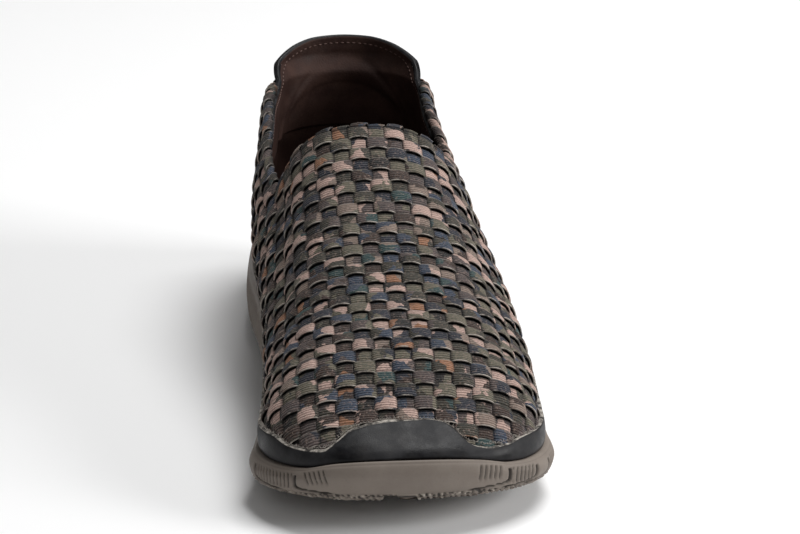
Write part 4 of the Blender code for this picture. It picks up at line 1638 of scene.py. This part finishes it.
    def build_stitches(self, finish: Material) -> Piece:
        """Stitches of the binding's seam, on the lining side."""
        line = self.edge_line(self.stitch_in, 1.0)
        centre = line.mean(axis=0)
        line = line + unit((centre - line) * np.array([1, 1, 0])) * self.stitch_lift
        sizes = {
            "Pitch": self.stitch_pitch,
            "Length": self.stitch_length,
            "Radius": self.stitch_radius,
        }
        return StitchRun().lay("tab_stitches", line, sizes, finish)


class LineRun:
    """Geometry Nodes that set small pieces one after another along a line."""

    def __init__(self) -> None:
        """Build the tree."""
        tree = bpy.data.node_groups.new(type(self).__name__, "GeometryNodeTree")
        self.tree = tree
        tree.interface.new_socket("Geometry", in_out="INPUT", socket_type="NodeSocketGeometry")
        for name in ("Pitch", "Length", "Radius"):
            tree.interface.new_socket(name, in_out="INPUT", socket_type="NodeSocketFloat")
        tree.interface.new_socket("Finish", in_out="INPUT", socket_type="NodeSocketMaterial")
        tree.interface.new_socket("Geometry", in_out="OUTPUT", socket_type="NodeSocketGeometry")
        nodes = Nodes(tree)
        start = nodes.add("NodeGroupInput").outputs
        line = nodes.add("GeometryNodeMeshToCurve", {"Mesh": start["Geometry"]}).outputs[0]
        sockets = {"Curve": line, "Length": start["Pitch"]}
        even = nodes.add("GeometryNodeResampleCurve", sockets, mode="LENGTH").outputs[0]
        sockets = {"Points": even, **self.copy(nodes, start)}
        copies = nodes.add("GeometryNodeInstanceOnPoints", sockets).outputs[0]
        real = nodes.add("GeometryNodeRealizeInstances", {"Geometry": copies}).outputs[0]
        sockets = {"Geometry": real, "Material": start["Finish"]}
        dressed = nodes.add("GeometryNodeSetMaterial", sockets).outputs[0]
        end = nodes.add("NodeGroupOutput")
        tree.links.new(dressed, end.inputs[0])

    def copy(self, nodes: Nodes, start: Any) -> dict[str, Any]:
        """Piece to copy, with its turn and its size at each point.

        Args:
            nodes: The tree's nodes.
            start: The tree's inputs.

        Returns:
            The sockets by name.
        """
        raise NotImplementedError

    def lay(
        self, name: str, line: Array, sizes: dict[str, float], finish: Material
    ) -> Piece:
        """Lay the pieces along a line and make them a plain mesh.

        Args:
            name: Name of the piece.
            line: Points that the pieces follow, in millimetres.
            sizes: Pitch, length and radius in millimetres.
            finish: The pieces' material.

        Returns:
            The pieces as one object.
        """
        path = bpy.data.meshes.new(name + "_line")
        path.from_pydata((line * MM).tolist(), [(i, i + 1) for i in range(len(line) - 1)], [])
        guide = add_object(name + "_guide", path)
        modifier = guide.modifiers.new("run", "NODES")
        modifier.node_group = self.tree
        for socket in self.tree.interface.items_tree:
            if socket.in_out == "INPUT" and socket.name in sizes:
                modifier[socket.identifier] = sizes[socket.name] * MM
            if socket.in_out == "INPUT" and socket.name == "Finish":
                modifier[socket.identifier] = finish
        graph = bpy.context.evaluated_depsgraph_get()
        mesh = bpy.data.meshes.new_from_object(guide.evaluated_get(graph))
        bpy.data.objects.remove(guide, do_unlink=True)
        mesh.name = name
        mesh.shade_smooth()
        return add_object(name, mesh)


class StitchRun(LineRun):
    """Stitches that lie along the line."""

    def copy(self, nodes: Nodes, start: Any) -> dict[str, Any]:
        """A drawn-out bead along the line."""
        sockets = {"Segments": 8, "Rings": 5, "Radius": 1.0}
        bead = nodes.add("GeometryNodeMeshUVSphere", sockets).outputs[0]
        half = nodes.math("MULTIPLY", start["Length"], 0.5)
        sockets = {0: half, 1: start["Radius"], 2: start["Radius"]}
        size = nodes.add("ShaderNodeCombineXYZ", sockets).outputs[0]
        way = nodes.add("GeometryNodeInputTangent").outputs[0]
        turn = nodes.add("FunctionNodeAlignRotationToVector", {"Vector": way}, axis="X").outputs[0]
        return {"Instance": bead, "Rotation": turn, "Scale": size}


class FrayRun(LineRun):
    """Short fibres that stand every way from the line."""

    seed: int = 5

    def copy(self, nodes: Nodes, start: Any) -> dict[str, Any]:
        """A thin cone, turned and drawn out at random."""
        sockets = {"Vertices": 5, "Radius Top": 0.3, "Radius Bottom": 1.0, "Depth": 1.0}
        fibre = nodes.add("GeometryNodeMeshCone", sockets).outputs[0]
        sockets = {0: (-1.0, -1.0, -0.1), 1: (1.0, 0.8, 1.0), "Seed": self.seed}
        way = nodes.add("FunctionNodeRandomValue", sockets, data_type="FLOAT_VECTOR").outputs[0]
        turn = nodes.add("FunctionNodeAlignRotationToVector", {"Vector": way}, axis="Z").outputs[0]
        sockets = {2: 0.35, 3: 1.0, "Seed": self.seed + 1}
        grown = nodes.add("FunctionNodeRandomValue", sockets, data_type="FLOAT").outputs[1]
        length = nodes.math("MULTIPLY", start["Length"], grown)
        sockets = {0: start["Radius"], 1: start["Radius"], 2: length}
        size = nodes.add("ShaderNodeCombineXYZ", sockets).outputs[0]
        return {"Instance": fibre, "Rotation": turn, "Scale": size}


@dataclass
class UnitSole:
    """The moulded sole: ribbed and grooved side, rim lip, toothed edge and tread."""

    last: Last
    step: float = 0.45
    across: int = 40
    tip: float = 0.02
    rib_pitch: float = 1.88
    rib_depth: float = 0.85
    slot_depth: float = 0.75
    slot_width: float = 0.36
    inner_lean: float = 5.5
    outer_lean: float = 2.0
    groove_depth: float = 1.5
    groove_width: float = 0.6
    groove_sweep: float = 13.0
    groove_turn: float = 0.24
    groove_span: Span = (0.19, 0.24, 0.74, 0.80)
    slot_span: Span = (0.44, 0.52, 0.80, 0.86)
    rib_span: Span = (0.28, 0.38, 0.78, 0.86)
    rib_sharp: float = 2.5
    rib_bow: float = 9.0
    rib_clear: Pair = (0.9, 1.6)
    upper_line: tuple[float, float, float] = (0.35, 0.915, 0.014)
    lower_line: tuple[float, float, float] = (0.4, 0.235, 0.016)
    tooth_pitch: float = 2.1
    tooth_depth: float = 1.1
    rough_edge: float = 0.34
    rough_top: float = 0.22
    rough_reach: Pair = (60.0, 110.0)
    tooth_slant: float = 6.0
    tooth_reach: Pair = (40.0, 75.0)
    tooth_in: float = 0.5
    seed: int = 17
    tread_depth: float = 2.6
    tread_width: float = 4.0
    tread_round: Pair = (0.5, 0.3)
    fine_depth: float = 0.5
    fine_pitch: float = 4.2
    zigzag: Pair = (3.0, 12.0)
    centre_width: float = 5.0
    centre_start: float = 200.0
    centre_bend: float = -5.75
    inner_grooves: Row = (
        38.4, 62.0, 78.0, 98.0, 124.0, 158.0, 200.0, 244.0, 288.0
    )
    outer_grooves: Row = (
        34.1, 47.4, 57.4, 76.0, 98.0, 124.0, 158.0, 200.0, 244.0, 288.0
    )
    inner_slots: Pair = (25.7, 34.0)
    outer_slots: Pair = (22.4, 31.6)
    treads: Row = (24.0, 46.0, 68.0, 178.0, 200.0, 222.0, 243.0, 262.0)
    levels: Row = (
        0.0, 0.03, 0.07, 0.11, 0.15, 0.19, 0.22, 0.25, 0.28, 0.32, 0.36, 0.40, 0.45, 0.50, 0.55,
        0.60, 0.65, 0.70, 0.74, 0.78, 0.82, 0.86, 0.89, 0.92, 0.95, 0.975, 1.0,
    )
    inset: Curve = Curve(
        (0.0, 0.05, 0.12, 0.2, 0.4, 0.62, 0.8, 0.92, 1.0),
        (6.0, 4.2, 2.6, 1.6, 0.5, 0.0, 0.6, 1.5, 2.6),
    )

    def stations(self) -> tuple[Array, Array]:
        """Shares of the length that divide the outline evenly, with their distance from the toe."""
        share = (1 - np.cos(np.pi * np.linspace(0, 1, 6000))) / 2
        station = self.tip + (self.last.length - 2 * self.tip) * share
        lengths = np.zeros_like(station)
        for side in SIDES:
            x = self.last.plan_edge(station, side, 0.0, 0.0, self.last.length)
            lengths += arc_length(vectors_of(x, station)) / 2
        count = round(lengths[-1] / self.step)
        place = np.linspace(0, lengths[-1], count + 1)
        return np.interp(place, lengths, share), lengths[-1] - place

    def relief(self, from_toe: Array, level: float, height: Array, side: int) -> Array:
        """Depth of slots, ribs, grooves and lip lines on one side.

        Args:
            from_toe: Distance from the toe along the outline.
            level: Share of the wall's height.
            height: Height of the wall, for true distances.
            side: 1 for the outer side, -1 for the inner one.

        Returns:
            How far the wall is sunk at each place.
        """
        grooves = self.outer_grooves if side > 0 else self.inner_grooves
        slots = self.outer_slots if side > 0 else self.inner_slots
        depth = np.zeros_like(from_toe)
        low = np.clip((self.groove_span[1] + self.groove_turn - level) / self.groove_turn, 0, 1)
        swept = from_toe + self.groove_sweep * low**3
        wide = self.groove_width * (1 + 3.0 * low**2 * self.groove_sweep / height)
        for place in grooves:
            depth += self.groove_depth * bump(swept, place, wide) * gate(level, self.groove_span)
        leaning = from_toe + (self.outer_lean if side > 0 else self.inner_lean) * (0.65 - level)
        for place in np.arange(slots[0], slots[1], self.rib_pitch):
            slot = self.slot_depth * bump(leaning, place, self.slot_width)
            depth += slot * gate(level, self.slot_span)
        bowed = from_toe - self.rib_bow * (level - 0.55) ** 2
        wave = 0.5 - 0.5 * np.cos(2 * np.pi * (bowed - grooves[0]) / self.rib_pitch)
        ribbed = self.rib_zone(from_toe, grooves) * gate(level, self.rib_span)
        depth += self.rib_depth * wave**self.rib_sharp * ribbed
        lines = [line[0] * bump(level, *line[1:]) for line in (self.upper_line, self.lower_line)]
        return depth + lines[0] + lines[1] * ramp_up(from_toe, 0.0, 6.0)

    def rib_zone(self, from_toe: Array, grooves: Row) -> Array:
        """Where the side is ribbed: between grooves, but for every third field."""
        zone = np.zeros_like(from_toe)
        ends = [*grooves, 2 * self.last.length]
        near, far = self.rib_clear
        for number, (start, end) in enumerate(zip(ends, ends[1:])):
            if number % 3 != 1:
                zone += gate(from_toe, (start + near, start + far, end - far, end - near))
        return zone

    def cut(self, aside: Array, width: float) -> Array:
        """Depth of one groove of the tread by distance from its middle."""
        half = width / 2
        low, high = self.tread_round
        return self.tread_depth * ramp_up(-np.abs(aside), -half - low, -half + high)

    def tread(self, station: Array, across: Array) -> Array:
        """Depth of the tread's grooves.

        Args:
            station: Where along the shoe.
            across: Distance from the middle line.

        Returns:
            How far the bottom is cut at each place.
        """
        depth = np.zeros(np.broadcast_shapes(station.shape, across.shape))
        for place in self.treads:
            depth = np.maximum(depth, self.cut(station - place, self.tread_width))
        bend = np.clip((station - self.centre_start) / (self.last.length - self.centre_start), 0, 1)
        depth = np.maximum(depth, self.cut(across - self.centre_bend * bend, self.centre_width))
        swing, pitch = self.zigzag
        aside = swing * np.abs(np.mod(across, pitch) - pitch / 2) / (pitch / 2)
        fine = 0.5 + 0.5 * np.sin(2 * np.pi * (station + aside) / self.fine_pitch)
        return np.maximum(depth, self.fine_depth * fine)

    def teeth(self, from_toe: Array, level: float, side: int) -> Array:
        """Slanting teeth of the tread's edge round the toe, 1 in a gap and 0 on a tooth."""
        slanted = side * from_toe + self.tooth_slant * level
        wave = np.sin(2 * np.pi * slanted / self.tooth_pitch)
        near, far = self.tooth_reach
        return ramp_up(wave, -0.25, 0.25) * ramp_up(-from_toe, -far, -near)

    def wall(self, share: Array, from_toe: Array, side: int) -> tuple[Array, Array]:
        """One side's wall by station and level, with the painted shade of each point from how deep
        it lies in its relief.
        """
        last = self.last
        edges, painted_shades = [], []
        draw = np.random.default_rng(self.seed + side)
        for level in self.levels:
            inset = float(self.inset(level))
            first = inset + self.tip
            at = first + (last.length - 2 * first) * share
            low = last.bottom(at)
            tall = last.rim(at) - low
            sunk = self.relief(from_toe, level, tall, side)
            near, far = self.rough_reach
            on_edge = (level < self.rough_top) * ramp_up(-from_toe, -far, -near)
            rough = np.repeat(draw.normal(size=len(share) // 2 + 1), 2)[: len(share)]
            rough = np.clip(rough, -1.5, 1.5) * on_edge
            teeth = self.teeth(from_toe, level, side)
            shaded_gap = teeth * (level < self.rough_top)
            sunk = sunk + self.tooth_in * shaded_gap + self.rough_edge * rough
            x = last.plan_edge(at, side, inset, inset, last.length - inset)
            edge = last.to_frame(vectors_of(x, at, low + tall * level))
            way = unit(np.gradient(edge[:, :2], axis=0))
            out = side * vectors_of(-way[:, 1], way[:, 0], 0 * way[:, 0])
            edge = edge - out * sunk[:, None]
            cut = self.tread(at, x - last.middle(at))
            cut = np.maximum(cut, self.tooth_depth * teeth)
            floor = low + cut * (level < self.rough_top) + 0.4 * level
            edge[:, 2] = np.maximum(edge[:, 2], floor)
            edges.append(edge)
            # Painted shade by depth in the relief, in the tooth gaps and where the rough edge is
            # pushed in; paler where it stands out.
            deep = np.clip(sunk / (0.6 * self.groove_depth), 0, 1)
            mottled = 0.6 * shaded_gap + 0.75 * rough
            painted_shades.append(np.where(deep > 0.05, np.maximum(deep, mottled), mottled))
        return np.stack(edges, axis=1), np.stack(painted_shades, axis=1)

    def build(self, finish: Material) -> Piece:
        """Make the sole."""
        share, from_toe = self.stations()
        outer, outer_shades = self.wall(share, from_toe, 1)
        inner, inner_shades = self.wall(share, from_toe, -1)
        blend = np.linspace(0, 1, self.across + 1)[None, 1:-1, None]
        below = inner[:, :1] + (outer[:, :1] - inner[:, :1]) * blend
        at = self.last.length / 2 - below[..., 1]
        x = below[..., 0] + self.last.middle_x()
        cut = self.tread(at, x - self.last.middle(at))
        below[..., 2] = self.last.bottom(at) + cut
        spread = np.array([0.04, 0.5, 0.96])[None, :, None]
        top = outer[:, -1:] + (inner[:, -1:] - outer[:, -1:]) * spread
        work = Patchwork()
        rings = np.concatenate([outer, top, inner[:, ::-1], below], axis=1)
        first = work.add_rings(rings, False, capped=False)
        flat = np.zeros(top.shape[:2])
        # Painted shade in the tread grooves underneath, none on the top.
        painted_shades = [outer_shades, flat, inner_shades[:, ::-1], np.clip(cut / self.tread_depth, 0, 1)]
        work.painted_shades.append(np.concatenate(painted_shades, axis=1).ravel())
        for ring in (0, len(rings) - 1):
            self.close_end(work, first + ring * rings.shape[1], rings.shape[1])
        return work.make("moulded_sole", [finish])

    def close_end(self, work: Patchwork, base: int, around: int) -> None:
        """Close one end of the sole level by level.

        Args:
            work: Where the sole is gathered.
            base: Number of the end ring's first point.
            around: Points in a ring.
        """
        count = len(self.levels)
        inner = base + count + 3
        for level in range(count - 1):
            left = base + level
            right = inner + count - 1 - level
            work.add_face([left, left + 1, right - 1, right])
        work.add_face([base + count - 1 + k for k in range(5)])
        work.add_face([base, *range(inner + count - 1, base + around)])


@dataclass
class FootBed:
    """The insole: a thin lined plate that cups up a little at its edge."""

    last: Last
    thickness: float = 3.0
    inset: float = 8.2
    heel: float = 10.2
    toe: float = 11.5
    cup: float = 1.6
    tip: float = 0.15
    sections: int = 120
    across: int = 24

    def build(self, finish: Material) -> Piece:
        """Make the plate."""
        last = self.last
        toe = last.length - self.toe
        first = self.heel + self.tip
        end = toe - self.tip
        share = (1 - np.cos(np.pi * np.linspace(0, 1, self.sections))) / 2
        station = first + (end - first) * share
        edges = [last.plan_edge(station, side, self.inset, self.heel, toe) for side in SIDES]
        blend = np.linspace(0, 1, self.across + 1)[None, :]
        x = edges[0][:, None] + (edges[1] - edges[0])[:, None] * blend
        at = np.broadcast_to(station[:, None], x.shape)
        low = last.seat_height(at)
        high = low + self.thickness + self.cup * np.abs(2 * blend - 1) ** 4
        near = last.to_frame(vectors_of(x, at, low))
        far = last.to_frame(vectors_of(x, at, high))
        return tube("foot_bed", shell(near, far), False, [finish])


@dataclass(frozen=True)
class Lamp:
    """A square soft light that faces the shoe."""

    name: str
    place: Place
    size: float
    power: float

    def build(self, aim: Vector) -> None:
        """Set the light up."""
        light = bpy.data.lights.new(self.name, "AREA")
        light.shape = "SQUARE"
        light.size = self.size
        light.energy = self.power
        lamp = add_object(self.name, light)
        lamp.location = self.place
        lamp.rotation_euler = (aim - lamp.location).to_track_quat("-Z", "Y").to_euler()


@dataclass
class Studio:
    """Pale floor that curves up behind, soft lights, and the camera."""

    azimuth: float = -7.372
    elevation: float = 18.661
    roll: float = 0.992
    distance: float = 1.3247
    lens: float = 160.0
    aim: Place = (0.01164, -0.002, 0.0469)
    floor_half: float = 4.0
    floor_back: float = 2.2
    floor_front: float = -6.0
    floor_curve: float = 0.8
    wall_top: float = 5.0
    paper: Colour = (0.93, 0.93, 0.93)
    room: float = 0.13
    lamps: tuple[Lamp, ...] = (
        Lamp("top_light", (0.45, 0.30, 1.7), 0.9, 27.0),
        Lamp("right_light", (1.5, -0.55, 0.75), 0.7, 19.0),
        Lamp("front_light", (0.25, -2.1, 1.0), 0.9, 4.0),
    )

    def build(self) -> None:
        """Set the studio up."""
        self.build_floor()
        self.build_lights()
        self.build_camera()

    def build_floor(self) -> None:
        """Floor and backdrop as one swept sheet."""
        line = [(self.floor_front, 0.0), (self.floor_back, 0.0)]
        for angle in np.radians(np.linspace(6, 90, 15)):
            y = self.floor_back + self.floor_curve * math.sin(angle)
            line.append((y, self.floor_curve * (1 - math.cos(angle))))
        line.append((self.floor_back + self.floor_curve, self.wall_top))
        points = [(x, y, z) for y, z in line for x in (-self.floor_half, self.floor_half)]
        faces = [[2 * i, 2 * i + 1, 2 * i + 3, 2 * i + 2] for i in range(len(line) - 1)]
        mesh = bpy.data.meshes.new("studio_floor")
        mesh.from_pydata(points, [], faces)
        mesh.shade_smooth()
        material, nodes, finish = new_finish("studio_paper")
        nodes.feed(finish, {"Base Color": (*self.paper, 1.0), "Roughness": 0.9})
        mesh.materials.append(material)
        add_object("studio_floor", mesh)

    def build_lights(self) -> None:
        """Soft light from above, one at the right, a fill in front and a pale room."""
        for lamp in self.lamps:
            lamp.build(Vector(self.aim))
        world = bpy.data.worlds.new("pale_room")
        world.use_nodes = True
        sky = world.node_tree.nodes["Background"]
        sky.inputs[0].default_value = (1.0, 1.0, 1.0, 1.0)
        sky.inputs[1].default_value = self.room
        bpy.context.scene.world = world
        bpy.context.scene.view_settings.view_transform = "Standard"

    def build_camera(self) -> None:
        """Camera at the photograph's angle."""
        turn = math.radians(self.azimuth)
        tilt = math.radians(self.elevation)
        level = math.cos(tilt)
        back = Vector((math.sin(turn) * level, -math.cos(turn) * level, math.sin(tilt)))
        data = bpy.data.cameras.new("camera")
        data.lens = self.lens
        data.sensor_width = 36.0
        camera = add_object("camera", data)
        camera.location = Vector(self.aim) + back * self.distance
        roll = Quaternion((0.0, 0.0, 1.0), math.radians(self.roll))
        camera.rotation_euler = ((-back).to_track_quat("-Z", "Y") @ roll).to_euler()
        bpy.context.scene.camera = camera


def dress(piece: Piece, slot: str, *nodes: str) -> None:
    """Seat a piece on the frame.

    Args:
        piece: The finished piece.
        slot: Material slot of the record, only written to the log.
        nodes: Frame nodes that it stands for.
    """
    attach(piece, BODY)
    if nodes:
        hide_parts(*nodes)
    log.info("%s: %d faces, %s", piece.name, len(piece.data.polygons), slot)


def main() -> None:
    """Build the studio and every piece of the shoe, in order."""
    logging.basicConfig(level=logging.INFO, format="%(name)s %(message)s")
    Studio().build()
    effects = Effects()
    last = Last()
    seat = SeatLine(last)
    weave = Weave(last)
    black = LeatherFinish(
        "rand_leather",
        colour=(0.004, 0.004, 0.005),
        light=(0.020, 0.020, 0.022),
        cell=0.6,
        depth=0.035,
        roughness=(0.28, 0.60),
    ).make(effects)
    raw = LeatherFinish(
        "raw_edge",
        colour=(0.03, 0.027, 0.025),
        light=(0.50, 0.46, 0.41),
        cell=0.5,
        depth=0.3,
        roughness=(0.7, 0.9),
        dust=0.2,
        gloss=0.2,
        patch=420.0,
    ).make(effects)
    brown = LeatherFinish(
        "lining_leather",
        colour=(0.032, 0.016, 0.013),
        light=(0.052, 0.027, 0.021),
        cell=1.4,
        depth=0.10,
        roughness=(0.55, 0.7),
        dust=0.06,
    ).make(effects)
    cross = TapeFinish("cross_tape", RibRun.ALONG, half_width=2.97, selvedge=0.8).make(effects)
    long = TapeFinish("long_tape", RibRun.ACROSS, half_width=2.9, selvedge=0.3).make(effects)
    rubber = RubberFinish("sole_rubber", (0.160, 0.132, 0.111), (0.194, 0.163, 0.138)).make(effects)
    thread = ThreadFinish("tab_thread", (0.075, 0.042, 0.034)).make()
    fibre = ThreadFinish("fray_fibre", (0.26, 0.235, 0.21)).make()
    dress(UnitSole(last).build(rubber), "sole", "sole")
    dress(FootBed(last).build(brown), "insole", "insole")
    upper = WovenUpper(weave)
    dress(upper.build_lining(brown), "upper")
    dress(upper.build_long_tapes(long), "upper")
    dress(upper.build_cross_tapes(cross), "upper", "upper")
    rand = LeatherRand(seat)
    dress(rand.build(black, raw), "toe_rand", "toe_rand")
    dress(rand.build_fray(fibre), "toe_rand")
    tab = HeelTab(seat)
    dress(tab.build(black, brown), "heel_tab", "heel_tab")
    dress(tab.build_binding(black), "heel_tab")
    dress(tab.build_stitches(thread), "heel_tab")


if __name__ == "__main__":
    main()
